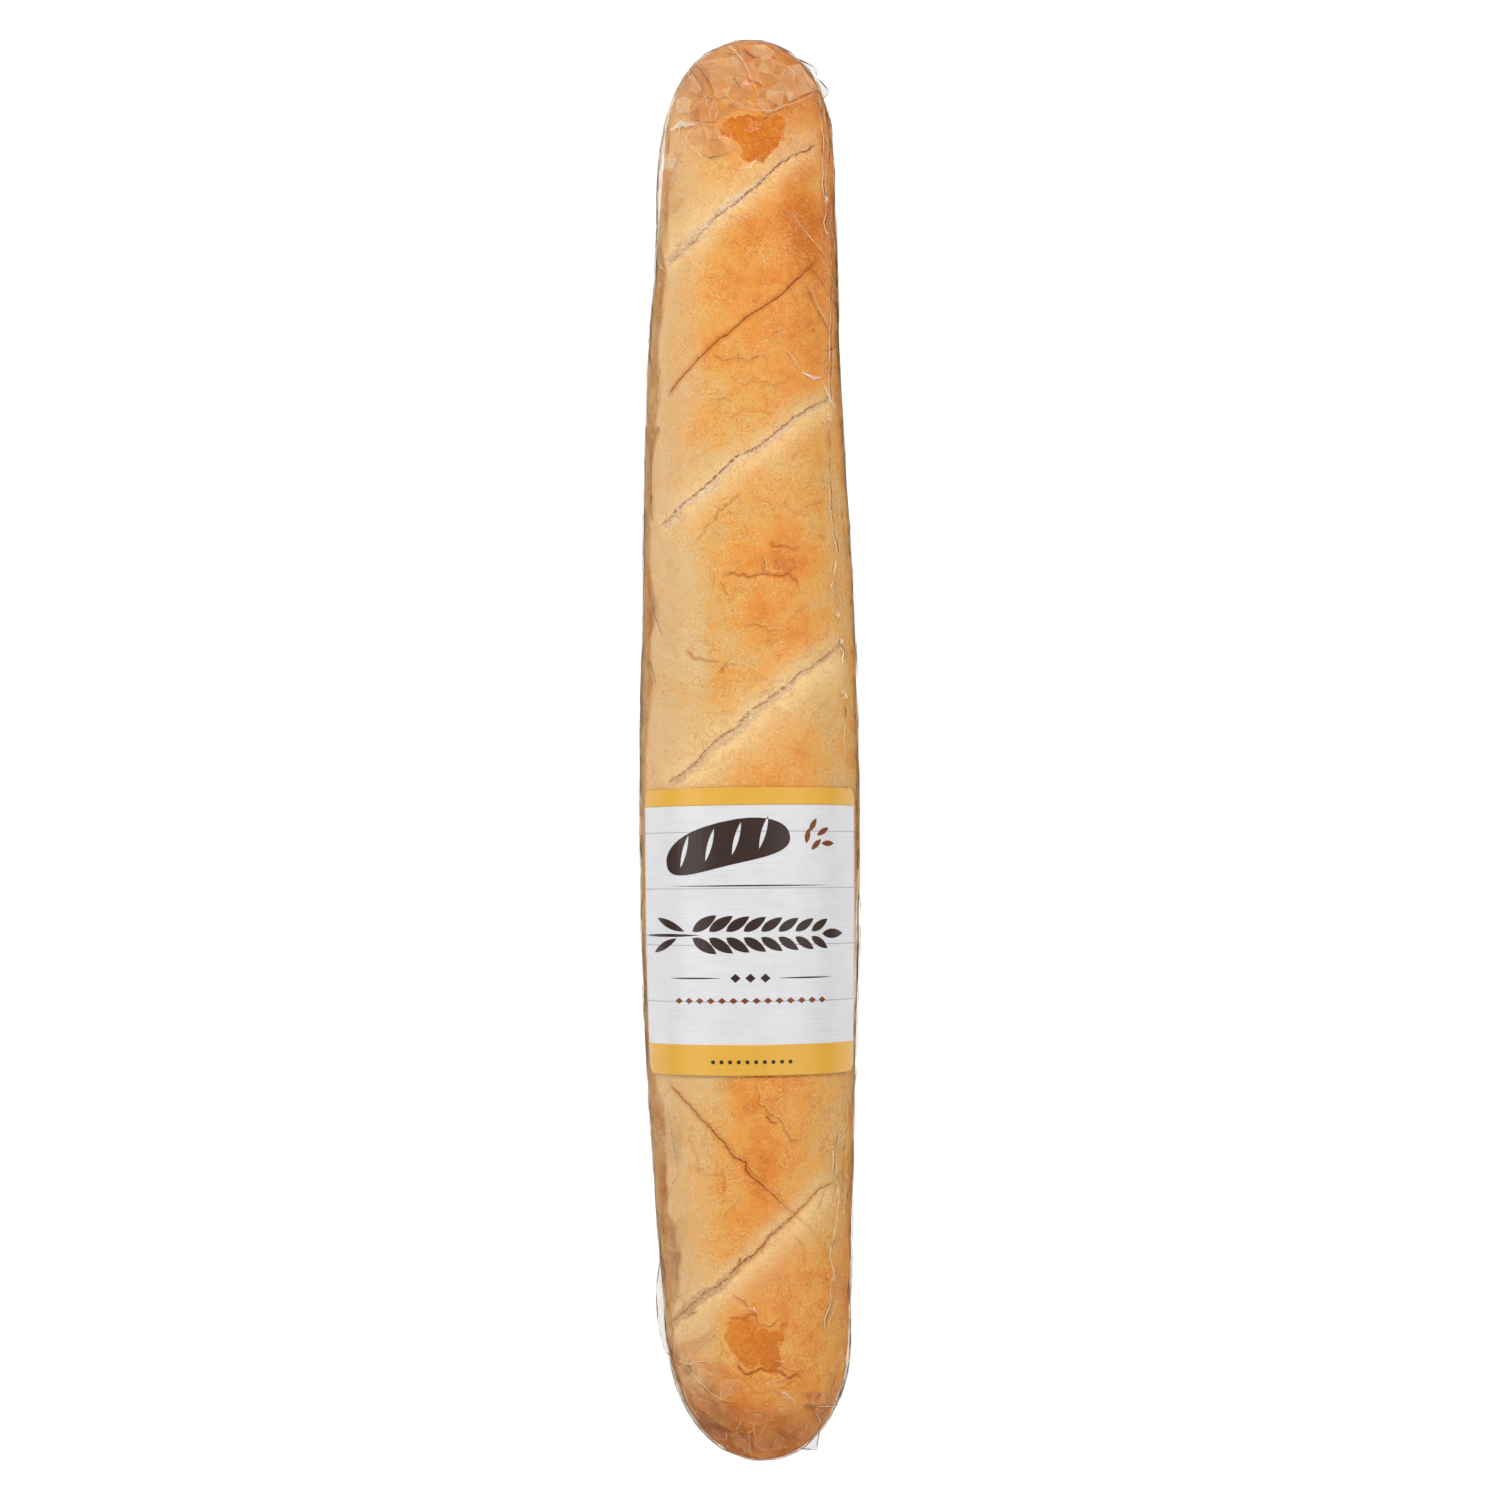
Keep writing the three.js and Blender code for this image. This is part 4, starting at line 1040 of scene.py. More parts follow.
# sharp creases at the ends: painted highlight (below 0, painted shade), width against the usual one, and path
endCreases = [
    (0.9, 1.1, [(-8.0, 251.0), (-5.1, 248.5), (-3.4, 246.4), (-2.0, 244.6)]),
    (-0.5, 1.0, [(-8.7, 251.3), (-6.6, 249.9)]),
    (-0.5, 0.9, [(-6.2, 251.7), (-4.1, 249.6)]),
    (-0.7, 1.2, [(-18.6, 244.2), (-16.2, 240.7), (-14.4, 237.8), (-12.2, 233.6)]),
    (-0.6, 1.3, [(-20.4, 242.5), (-17.6, 238.2), (-15.1, 234.3)]),
    (-0.7, 1.0, [(-6.2, 239.6), (-4.8, 237.5), (-3.4, 235.0)]),
    (0.5, 0.6, [(-6.9, 239.6), (-5.5, 237.1), (-3.7, 234.3)]),
    (-0.6, 1.0, [(-3.0, 248.9), (0.2, 247.1), (4.1, 245.7)]),
    (0.6, 0.7, [(5.1, 250.3), (7.6, 247.8), (9.4, 244.9)]),
    (-0.5, 0.8, [(-9.8, 246.7), (-6.9, 247.8), (-4.1, 246.4)]),
    (-0.45, 0.8, [(13.7, 230.0), (17.9, 232.5), (22.9, 233.9)]),
    (0.45, 0.7, [(3.0, 229.3), (5.5, 226.5), (9.1, 227.6), (13.7, 230.4)]),
    (0.7, 0.8, [(0.9, 240.0), (1.6, 236.4), (2.7, 231.5), (3.0, 227.9)]),
    (0.5, 0.7, [(4.8, 244.2), (5.9, 242.1), (8.0, 242.8)]),
    (0.6, 0.7, [(4.4, 232.2), (6.2, 233.9), (8.0, 231.5)]),
    (0.7, 0.9, [(-7.6, 232.2), (-5.9, 230.4), (-2.7, 229.3), (0.2, 226.5)]),
    (-0.4, 0.8, [(-21.1, 233.9), (-17.6, 232.2), (-11.2, 231.1), (-7.6, 232.2)]),
    (0.5, 0.7, [(-21.8, 235.0), (-19.7, 236.8), (-20.8, 240.0)]),
    (-0.5, 0.9, [(-22.5, 227.2), (-20.4, 224.4), (-16.9, 222.9), (-11.5, 223.3)]),
    (0.8, 0.9, [(-12.2, 231.5), (-11.2, 227.2), (-11.9, 223.6)]),
    (0.75, 1.0, [(-17.9, 222.2), (-20.8, 220.1), (-22.2, 217.6), (-20.8, 214.4)]),
    (0.8, 1.0, [(-20.4, 214.8), (-18.6, 213.7), (-16.5, 210.5)]),
    (0.45, 0.6, [(-17.6, 215.5), (-13.3, 216.2), (-9.8, 216.9)]),
    (-0.55, 1.2, [(-16.2, 210.9), (-14.0, 210.2), (-11.5, 210.9)]),
    (0.6, 0.7, [(12.2, 226.5), (13.0, 222.2), (11.9, 218.3), (9.8, 214.4), (5.9, 210.2)]),
    (0.4, 0.6, [(-1.6, 210.9), (-4.1, 214.1), (-7.6, 216.5)]),
    (0.6, 0.8, [(-27.5, 229.3), (-25.0, 232.2), (-21.5, 240.0)]),
    (-0.6, 1.0, [(-21.1, 240.7), (-22.5, 236.1), (-26.1, 231.5)]),
    (0.6, 0.7, [(13.0, 242.8), (15.1, 240.7), (14.4, 237.8)]),
    (0.5, 0.6, [(16.9, 243.5), (17.6, 240.0), (20.1, 237.8)]),
    (0.6, 0.6, [(-17.6, 229.3), (-15.4, 231.5), (-13.3, 229.3)]),
    (0.5, 0.6, [(-2.0, 239.3), (-4.1, 241.4), (-5.1, 244.2)]),
    (0.45, 0.6, [(-9.8, 242.8), (-11.9, 244.9), (-15.4, 244.2)]),
    (0.8, 1.0, [(-21.8, -216.9), (-19.7, -219.0), (-19.3, -221.2), (-21.8, -224.4)]),
    (-0.6, 1.2, [(-26.1, -222.6), (-23.3, -224.7)]),
    (-0.55, 1.0, [(-20.1, -217.6), (-14.7, -217.6), (-7.6, -217.3)]),
    (0.5, 0.7, [(-19.7, -218.7), (-15.4, -220.5), (-10.5, -223.3)]),
    (-0.7, 1.2, [(-17.9, -225.1), (-15.8, -226.5), (-13.3, -227.9), (-10.5, -229.7)]),
    (0.5, 0.8, [(-17.6, -212.3), (-14.0, -209.4), (-11.2, -205.2)]),
    (-0.4, 1.0, [(-20.4, -215.1), (-15.4, -211.2), (-11.5, -207.0)]),
    (-0.7, 1.3, [(-10.1, -230.8), (-7.6, -231.8), (-4.1, -232.2)]),
    (0.7, 0.8, [(-10.1, -224.4), (-9.8, -227.9), (-9.8, -231.1)]),
    (0.8, 0.9, [(0.9, -236.1), (3.0, -236.1), (4.4, -237.1)]),
    (0.9, 1.0, [(10.5, -227.9), (12.6, -228.6), (14.4, -230.8), (15.8, -231.8)]),
    (-0.6, 1.0, [(9.4, -242.1), (13.0, -244.2), (17.9, -247.1)]),
    (-0.5, 1.2, [(-0.5, -241.4), (0.5, -244.9), (1.2, -249.2)]),
    (0.5, 0.8, [(-1.2, -242.1), (0.2, -247.1), (0.9, -251.0)]),
    (-0.8, 1.0, [(17.9, -233.2), (23.6, -232.9), (30.7, -232.9)]),
    (0.8, 0.8, [(-17.6, -239.6), (-16.5, -242.8)]),
    (0.9, 1.2, [(-9.4, -246.4), (-8.3, -248.5)]),
    (0.7, 0.8, [(22.5, -235.7), (23.6, -237.1), (24.0, -239.3)]),
    (-0.5, 1.0, [(-13.3, -239.3), (-9.8, -242.1), (-8.0, -245.7)]),
    (0.5, 0.7, [(-21.1, -226.1), (-17.6, -230.4), (-11.2, -232.2)]),
    (-0.5, 0.9, [(28.6, -223.6), (30.7, -227.2), (30.0, -229.3)]),
    (-0.45, 0.8, [(23.6, -223.6), (27.2, -221.5), (30.0, -223.6)]),
    (0.4, 0.7, [(19.7, -239.3), (18.6, -242.8), (16.9, -244.9)]),
]


def profileTable():
    # distance along the loaf's flank, which is longer than the station in the tips
    stations = np.linspace(-halfLength + 0.05, halfLength - 0.05, 1200)
    half, rise = sectionAt(stations)[:2]
    along = walkedAlong(np.stack([stations, (half + rise) / 2], axis=-1))
    return stations, along - np.interp(0.0, stations, along)


profileStations, profileAlong = profileTable()


def gapsTo(spots, others):
    # from each spot to the nearest of the others
    off = spots[:, None] - others[None]
    return np.hypot(off[..., 0], off[..., 1]).min(axis=1)


def filmPoints(rng):
    # flat places of the film's points, and the folds as edges between them
    spots, rises, edges, chains = [], [], [], []
    for plan, rise, bright, *width in folds:
        path = overCrust(plan)
        steps = walkedAlong(path)
        marks = np.linspace(0, steps[-1], max(3, int(steps[-1] / film["foldStep"]) + 1))
        chain = []
        for k, (a, y) in enumerate(placesOn(path, steps, marks)):
            a, y = a + rng.normal(0, 0.3), y + rng.normal(0, 0.3)
            down = float(np.interp(y, profileStations, profileAlong))
            spots.append((a / float(girthAt(y)) * widestGirth, down))
            rises.append(rise * (film["foldEnds"] if k in (0, len(marks) - 1) else 1.0))
            chain.append(len(spots) - 1)
            if k:
                edges.append((len(spots) - 2, len(spots) - 1))
        chains.append((chain, bright, width[0] if width else 1.0))
    kept = np.array(spots)

    ends = profileAlong[0] + 2.2, profileAlong[-1] - 2.2
    length = ends[1] - ends[0]
    rowsAt = np.arange(ends[0], ends[1] + 1e-6, length / round(length / film["spacing"]))
    plain = np.interp(film["plainEnds"], profileStations, profileAlong)
    full = np.interp(film["fullCrumple"], profileStations, profileAlong)
    loose, crumpleOf = [], lambda v: np.clip(np.maximum(
        (plain[0] - v) / (plain[0] - full[0]), (v - plain[1]) / (full[1] - plain[1])), 0, 1)
    for k, v in enumerate(rowsAt[1:-1]):
        crumple = float(crumpleOf(v))
        keep = 1 - crumple * (1 - (film["spacing"] / film["crumpleSpacing"]) ** 2)
        first = -widestGirth + film["spacing"] * (0.7 + 0.5 * (k % 2))
        wobble = film["spacing"] * (0.06 + 0.4 * crumple)
        for u in np.arange(first, widestGirth - 2, film["spacing"]):
            if abs(u) > widestGirth * 0.66 and (k + int(u / film["spacing"])) % 2:
                continue
            if rng.random() <= keep:
                loose.append((u + rng.uniform(-wobble, wobble), v + rng.uniform(-wobble, wobble)))
    loose = np.array(loose)
    loose = loose[gapsTo(loose, kept) > 2.0]
    # the two sides of the cut under the loaf, and the rings beside the tips, are shared
    rim = [(side * widestGirth, v) for side in (-1, 1) for v in rowsAt[::2]]
    for v in (rowsAt[0], rowsAt[-1]):
        rim += [(u, v) for u in np.linspace(-widestGirth, widestGirth, 15)[1:-1]]
    for v in (ends[0], ends[1]):
        if not any(abs(q[1] - v) < 1e-6 and abs(abs(q[0]) - widestGirth) < 1e-6 for q in rim):
            rim += [(-widestGirth, v), (widestGirth, v)]
    flat = np.concatenate([kept, loose, np.array(rim)])
    rises = np.concatenate([rises, np.zeros(len(flat) - len(rises))])
    return flat, rises, edges, crumpleOf, chains


def ridges(lines):
    # thin raised edges with pointed ends: each line is points, their outward directions, width and painted
    # highlight (below 0, painted shade)
    points, faces, brights = [], [], []
    for path, outward, width, bright in lines:
        path, outward = np.array(path), np.array(outward)
        along = np.gradient(path, axis=0)
        side = np.cross(along, outward)
        side /= np.linalg.norm(side, axis=1, keepdims=True) + 1e-9
        count = len(path)
        first = len(points)
        points.append(path[0])
        for k in range(1, count - 1):
            wide = width * (0.6 + 0.4 * math.sin(halfTurn * k / (count - 1)))
            points += [path[k] - side[k] * wide / 2 - outward[k] * film["creaseSunk"],
                       path[k] + side[k] * wide / 2 - outward[k] * film["creaseSunk"],
                       path[k] + outward[k] * wide * film["creaseHeight"]]
        points.append(path[-1])
        last = len(points) - 1
        faces += [[first, first + 1 + (j + 1) % 3, first + 1 + j] for j in range(3)]
        for k in range(count - 3):
            a = first + 1 + 3 * k
            faces += [[a + j, a + (j + 1) % 3, a + 3 + (j + 1) % 3, a + 3 + j] for j in range(3)]
        a = last - 3
        faces += [[last, a + j, a + (j + 1) % 3] for j in range(3)]
        brights += [bright] * (len(points) - first)
    return np.array(points), faces, np.array(brights)


def outwardAt(points):
    # the way out of the loaf, roughly, at points on its skin
    level = sectionAt(points[:, 1])[3]
    x = points[:, 0] - axisAt(points[:, 1])
    out = np.stack([x, np.zeros(len(points)), points[:, 2] - level * 0.8], axis=-1)
    return out / (np.linalg.norm(out, axis=1, keepdims=True) + 1e-9)


def crease(path, width, bright, share=1.0):
    # a raised edge on the film; its width is against the usual one
    return path, outwardAt(path), film["creaseWidth"] * width * share, bright


def buildFilm():
    rng = np.random.default_rng(17)
    flat, rises, edges, crumpleOf, chains = filmPoints(rng)
    corners, _, triangles, fromPoint, _, _ = delaunay_2d_cdt(
        [Vector((float(a), float(b))) for a, b in flat], edges, [], 0, 1e-5)
    places = np.array([[c.x, c.y] for c in corners])
    rise = np.array([rises[origin[0]] if origin else 0.8 for origin in fromPoint])
    triangles = np.array([t if len(t) == 3 else t[:3] for t in triangles])
    station = np.interp(places[:, 1], profileAlong, profileStations)
    across = places[:, 0] / widestGirth * girthAt(station)
    angle = angleOf(station, across)
    crumple = crumpleOf(places[:, 1])
    random = rng.uniform(0, 1, len(places))
    top = 1 - smoothStep((np.abs(places[:, 0]) / widestGirth - 0.72) / 0.12)
    upward = smoothStep((np.sin(angle) - 0.15) / 0.45)
    lift = film["lift"] + film["crumpleRise"] * crumple * random ** 1.3 * (0.12 + 0.13 * top + 0.75 * upward)
    lift = lift + rise * (0.3 + 0.7 * upward)
    patch = np.zeros(len(places))
    for _, _, outline in stuckPatches:
        patch = np.maximum(patch, smoothStep(-outlineEdge(outline, across, station) / 2 + 0.7))
    lift = lift * (1 - 0.85 * patch)
    plain = skinPoints(station, angle, 0.0)
    relief = onTop(crustFields(across, station, plain[:, 0])[1], across, station)
    lift = lift + slackAt(station, angle) + relief * (1 - crumple) - film["tightness"]
    points = skinPoints(station, angle, lift)
    points[:, 2] = np.maximum(points[:, 2], 0.02)

    # sew the cut under the loaf and close the tips
    twin = np.arange(len(places))
    left = np.nonzero(np.abs(places[:, 0] + widestGirth) < 1e-3)[0]
    right = np.nonzero(np.abs(places[:, 0] - widestGirth) < 1e-3)[0]
    for k in right:
        twin[k] = left[np.argmin(np.abs(places[left, 1] - places[k, 1]))]
    triangles = twin[triangles]
    points[left, 0] = axisAt(station[left])
    a, b, c = triangles.T
    faces = triangles[(a != b) & (b != c) & (a != c)].tolist()
    for end, v in ((-1, places[:, 1].min()), (1, places[:, 1].max())):
        loop = [k for k in np.nonzero(np.abs(places[:, 1] - v) < 1e-3)[0] if twin[k] == k]
        loop.sort(key=lambda k: places[k, 0])
        pole = len(points)
        middle = points[loop].mean(axis=0)
        points = np.concatenate([points, [[middle[0], end * halfLength, middle[2]]]])
        crumple = np.append(crumple, 1.0)
        for a, b in zip(loop, loop[1:] + loop[:1]):
            faces.append([pole, a, b] if end < 0 else [pole, b, a])
    used = np.unique(np.array(faces))
    renumber = np.full(len(points), -1)
    renumber[used] = np.arange(len(used))
    faces = renumber[np.array(faces)]
    points, crumple = points[used], crumple[used]

    # outward faces
    a, b, c = points[faces[:, 0]], points[faces[:, 1]], points[faces[:, 2]]
    volume = np.einsum("ij,ij->i", a, np.cross(b, c)).sum()
    if volume < 0:
        faces = faces[:, ::-1]
    centres = points[faces].mean(axis=1)
    crumpled = crumple[faces].mean(axis=1)
    clouds = unevenness(centres[:, 0], centres[:, 1], 16, 41) * 0.5 + 0.5
    # milky facets of the crumpled ends, picked at random: partly hazy film, partly painted glare
    facetHaze = crumpled * rng.uniform(0, 1, len(faces)) ** 1.8 * (0.2 + clouds) * film["haze"]
    stuck = np.append(patch, [0, 0])[used]
    facetHaze = facetHaze * (1 - 0.9 * stuck[faces].mean(axis=1)) * np.where(centres[:, 1] < 0, 0.3, 1.0)
    # painted glare: a milky band down the left flank, and a little at the far tip
    x, y = points[:, 0], points[:, 1]
    leftGlare = bell(x + 27.5, 6) * smoothStep((y - 76) / 16) * smoothStep((152 - y) / 16)
    tip = smoothStep((y - 224) / 14) * bell(x - 2, 24)
    values = {"haze": 0.12 * leftGlare + 0.05 * tip, "stuck": stuck}
    piece = makePiece("film_skin", points, faces, values, crumpled < 0.25, {"facetHaze": facetHaze})
    finishPiece(piece, filmMaterial("clear_film", film["gloss"]), "film", "wrapped_loaf")

    # creases: the folds listed, and some of the sharp edges of the crumpled ends
    # the creases carry painted highlights and painted shade
    made = {origin: k for k, origins in enumerate(fromPoint) for origin in origins}
    lines = []
    for chain, bright, width in chains:
        path = points[[renumber[made[k]] for k in chain if k in made]]
        if len(path) > 2:
            lines.append(crease(path, width, bright, 0.7 + 0.6 * abs(bright)))
    a, b, c = points[faces[:, 0]], points[faces[:, 1]], points[faces[:, 2]]
    normals = np.cross(b - a, c - a)
    normals /= np.linalg.norm(normals, axis=1, keepdims=True) + 1e-12
    beside = {}
    for k, face in enumerate(faces.tolist()):
        for i in range(3):
            beside.setdefault(tuple(sorted((face[i], face[(i + 1) % 3]))), []).append(k)
    for (i, j), sides in beside.items():
        if len(sides) < 2 or crumple[i] + crumple[j] < 1.1 or points[i][2] < 8:
            continue
        bend = math.degrees(math.acos(np.clip(normals[sides[0]] @ normals[sides[1]], -1, 1)))
        chance = rng.random()
        if bend < 9 or chance > film["creaseShare"] + film["darkShare"]:
            continue
        bright = rng.uniform(0.2, 0.7) if chance < film["creaseShare"] else -rng.uniform(0.2, 0.6)
        path = points[i] + (points[j] - points[i]) * np.linspace(0.04, 0.96, 4)[:, None]
        lines.append(crease(path, rng.uniform(0.45, 1.1), bright))
    return lines


def buildLap():
    # the sealed lap of the film down the right flank, and the crinkled edge of it with painted glints and
    # painted shade
    rng = np.random.default_rng(23)
    edge = overCrust(lapEdge)
    steps = walkedAlong(edge)
    inner = placesOn(edge, steps, np.linspace(0, steps[-1], int(steps[-1] / lap["rows"])))
    inner[:, 0] += rng.normal(0, 0.3, len(inner)) + 0.6 * unevenness(inner[:, 0] * 0, inner[:, 1], 14, 51)
    inner[:, 0] += 0.5 * unevenness(inner[:, 0] * 0, inner[:, 1], 5, 52)
    underLabel = smoothStep((labelPlace["along"] / 2 + 5 - np.abs(inner[:, 1] - labelPlace["middle"])) / 5)
    ends = np.sin(halfTurn * np.linspace(0, 1, len(inner))) ** 0.25
    count = 6
    rows = []
    for k, (a, y) in enumerate(inner):
        width = lap["width"] * ends[k] * (1 + 0.08 * math.sin(k * 0.37))
        across = a + np.linspace(0, 1, count) * width
        curl = lap["curl"] * np.array([1.0, 0.25, 0.05, 0.0, 0.1, 0.3]) * rng.uniform(0.3, 1.4, count)
        lift = 0.22 + (lap["lift"] - 0.22 + curl) * (1 - underLabel[k])
        station = np.full(count, y)
        angle = angleOf(station, across)
        rows.append(skinPoints(station, angle, lift + slackAt(station, angle)))
    rows = np.array(rows)[::-1]
    upper = rows.reshape(-1, 3)
    lower = (rows - outwardAt(upper).reshape(rows.shape) * lap["thickness"]).reshape(-1, 3)
    faces = closedSheetFaces(len(rows), count, len(upper))
    piece = makePiece("film_lap", np.concatenate([upper, lower]), faces, smooth=False,
                      values={"haze": np.full(2 * len(upper), 0.01)})
    finishPiece(piece, filmMaterial("lap_film", 0.2), "film", "wrapped_loaf")

    lines = []
    tracks = np.array([0.0, 0.12, 0.3, 0.55, 0.8])     # of the folds along the lap, as shares of its width
    for track, often, strong in zip(tracks, (0.75, 0.6, 0.3, 0.5, 0.35), (1.0, -0.8, 0.5, 0.7, -0.7)):
        start = 0
        while start < len(inner) - 4:
            span = rng.integers(3, 10)
            pick = slice(start, min(start + span, len(inner)))
            column = track * (count - 1)
            near = rows[::-1][pick, int(column)]
            far = rows[::-1][pick, min(int(column) + 1, count - 1)]
            path = near + (far - near) * (column % 1) + outwardAt(near) * 0.03
            if len(path) > 2 and underLabel[pick].max() < 0.5 and rng.random() < often:
                bright = strong * rng.uniform(0.4, 1.0)
                lines.append(crease(path, rng.uniform(0.5, 1.4), bright))
            start += span - 1
    # knots of the lap's edge, made of small creases with painted glints
    for station, size in lapKnots:
        k = int(np.argmin(np.abs(inner[:, 1] - station)))
        centre = inner[k]
        for _ in range(int(4 + size)):
            turn = rng.uniform(0, 2 * halfTurn)
            reach = size * rng.uniform(0.3, 0.9)
            spot = centre + rng.normal(0, size * 0.25, 2) + np.outer(np.linspace(-0.5, 0.5, 4), [
                0.6 * reach * math.cos(turn), reach * math.sin(turn)])
            angle = angleOf(spot[:, 1], spot[:, 0])
            lift = 0.5 + slackAt(spot[:, 1], angle) + np.array([0, 0.4, 0.5, 0.1])
            path = skinPoints(spot[:, 1], angle, lift)
            lines.append(crease(path, rng.uniform(0.6, 1.6), rng.uniform(0.5, 1.0)))
    return lines


def closedSheetFaces(rows, columns, count):
    # faces of a sheet of rows by columns whose lower side follows count points later
    faces = gridFaces(rows, columns, closed=False)
    faces += [[count + k for k in reversed(f)] for f in faces]
    rim = list(range(columns))
    rim += [i * columns + columns - 1 for i in range(1, rows)]
    rim += [(rows - 1) * columns + k for k in range(columns - 2, -1, -1)]
    rim += [i * columns for i in range(rows - 2, 0, -1)]
    return faces + [[b, a, a + count, b + count] for a, b in zip(rim, rim[1:] + rim[:1])]


def insideOf(loops, x, y):
    # whether places lie inside an odd number of closed loops
    inside = np.zeros(np.shape(x), bool)
    for loop in loops:
        for (ax, ay), (bx, by) in zip(loop, loop[1:] + loop[:1]):
            if ay != by:
                inside ^= ((ay > y) != (by > y)) & (x < (bx - ax) * (y - ay) / (by - ay) + ax)
    return inside


def fillLoops(loops, spacing, rng=None):
    # triangles of a flat shape with holes, with points every spacing inside it
    rim, edges = [], []
    for loop in loops:
        first = len(rim)
        for (ax, ay), (bx, by) in zip(loop, loop[1:] + loop[:1]):
            parts = max(1, round(math.hypot(bx - ax, by - ay) / spacing))
            rim += [(ax + (bx - ax) * k / parts, ay + (by - ay) * k / parts) for k in range(parts)]
        edges += [(k, k + 1) for k in range(first, len(rim) - 1)] + [(len(rim) - 1, first)]
    rimSpots = np.array(rim)
    low, high = rimSpots.min(axis=0), rimSpots.max(axis=0)
    grid = np.stack(np.meshgrid(np.arange(low[0], high[0], spacing), np.arange(low[1], high[1], spacing)),
                    axis=-1).reshape(-1, 2)
    if rng is not None:
        grid = grid + rng.uniform(-0.3, 0.3, grid.shape) * spacing
    clear = insideOf(loops, grid[:, 0], grid[:, 1])
    if len(grid):
        grid = grid[clear & (gapsTo(grid, rimSpots) > spacing * 0.45)]
    spots = [Vector((float(a), float(b))) for a, b in np.concatenate([rimSpots, grid])]
    corners, _, triangles, _, _, _ = delaunay_2d_cdt(spots, edges, [], 0, 1e-6)
    flat = np.array([[c.x, c.y] for c in corners])
    triangles = np.array([t[:3] for t in triangles])
    middle = flat[triangles].mean(axis=1)
    return flat, triangles[insideOf(loops, middle[:, 0], middle[:, 1])]


def thickened(upper, lower, triangles):
    # a closed sheet between two copies of a triangulated shape
    count = len(upper)
    faces = triangles.tolist() + [[c + count, b + count, a + count] for a, b, c in triangles]
    directed = {(t[i], t[(i + 1) % 3]) for t in triangles.tolist() for i in range(3)}
    faces += [[b, a, a + count, b + count] for a, b in directed if (b, a) not in directed]
    return np.concatenate([upper, lower]), faces


def buildWings():
    rng = np.random.default_rng(29)
    points, faces, lines = [], [], []
    thick = wingSheet["thickness"]
    for level, outline in wings:
        flat, triangles = fillLoops([outline], wingSheet["spacing"], rng)
        z = level + rng.uniform(-wingSheet["wave"], wingSheet["wave"], len(flat))
        upper = np.column_stack([flat, z + thick / 2])
        sheet, sheetFaces = thickened(upper, upper - [0, 0, thick], triangles)
        faces += [[k + len(points) for k in f] for f in sheetFaces]
        points += sheet.tolist()
        count = len(outline)
        # creases with painted shade, and some with painted highlights, along the outline
        for k in range(count):
            a, b = np.array(outline[k]), np.array(outline[(k + 1) % count])
            if np.hypot(*(a - b)) < 2:
                continue
            levels = level + rng.normal(0, 0.15, 5)
            path = np.column_stack([a + (b - a) * np.linspace(0, 1, 5)[:, None], levels])
            up = np.tile([0.0, 0.0, 1.0], (5, 1))
            width = film["creaseWidth"] * rng.uniform(1.2, 1.9)
            lines.append((path, up, width, rng.choice([-0.95, -0.8, -0.6, 0.8])))
    piece = makePiece("film_wings", points, faces, smooth=False, values={
        "haze": np.full(len(points), wingSheet["haze"])})
    material = filmMaterial("wing_film", film["gloss"], clearness=wingSheet["clearness"])
    finishPiece(piece, material, "film", "wrapped_loaf")
    return lines


def creaseMaterial():
    # tight folds of the film, painted with light: most carry a painted highlight, the brightest a white
    # painted glint, some painted shade
    r = newRecipe("creased_film")
    bright = r.value("bright")
    uneven = r.noise(r.place(), 4, detail=2).fade(0.32, 0.62)
    glintTone = r.blend(bright.fade(0.8, 1.0), seen(255, 230, 190), seen(255, 253, 246))
    tone = r.blend((bright * 8 + 0.5).held(), seen(86, 72, 58), glintTone)
    fillIn = (abs(bright) * (0.25 + uneven * 0.75)).held()
    clear = r.add("ShaderNodeBsdfTransparent", {}, {"Color": (0.99, 0.99, 0.99, 1.0)})
    body = r.add("ShaderNodeBsdfPrincipled", {}, {
        "Base Color": tone, "Roughness": 0.3, "Specular IOR Level": 0.3})
    return r.finish(r.add("ShaderNodeMixShader", {}, {0: fillIn * 0.85, 1: clear, 2: body}))


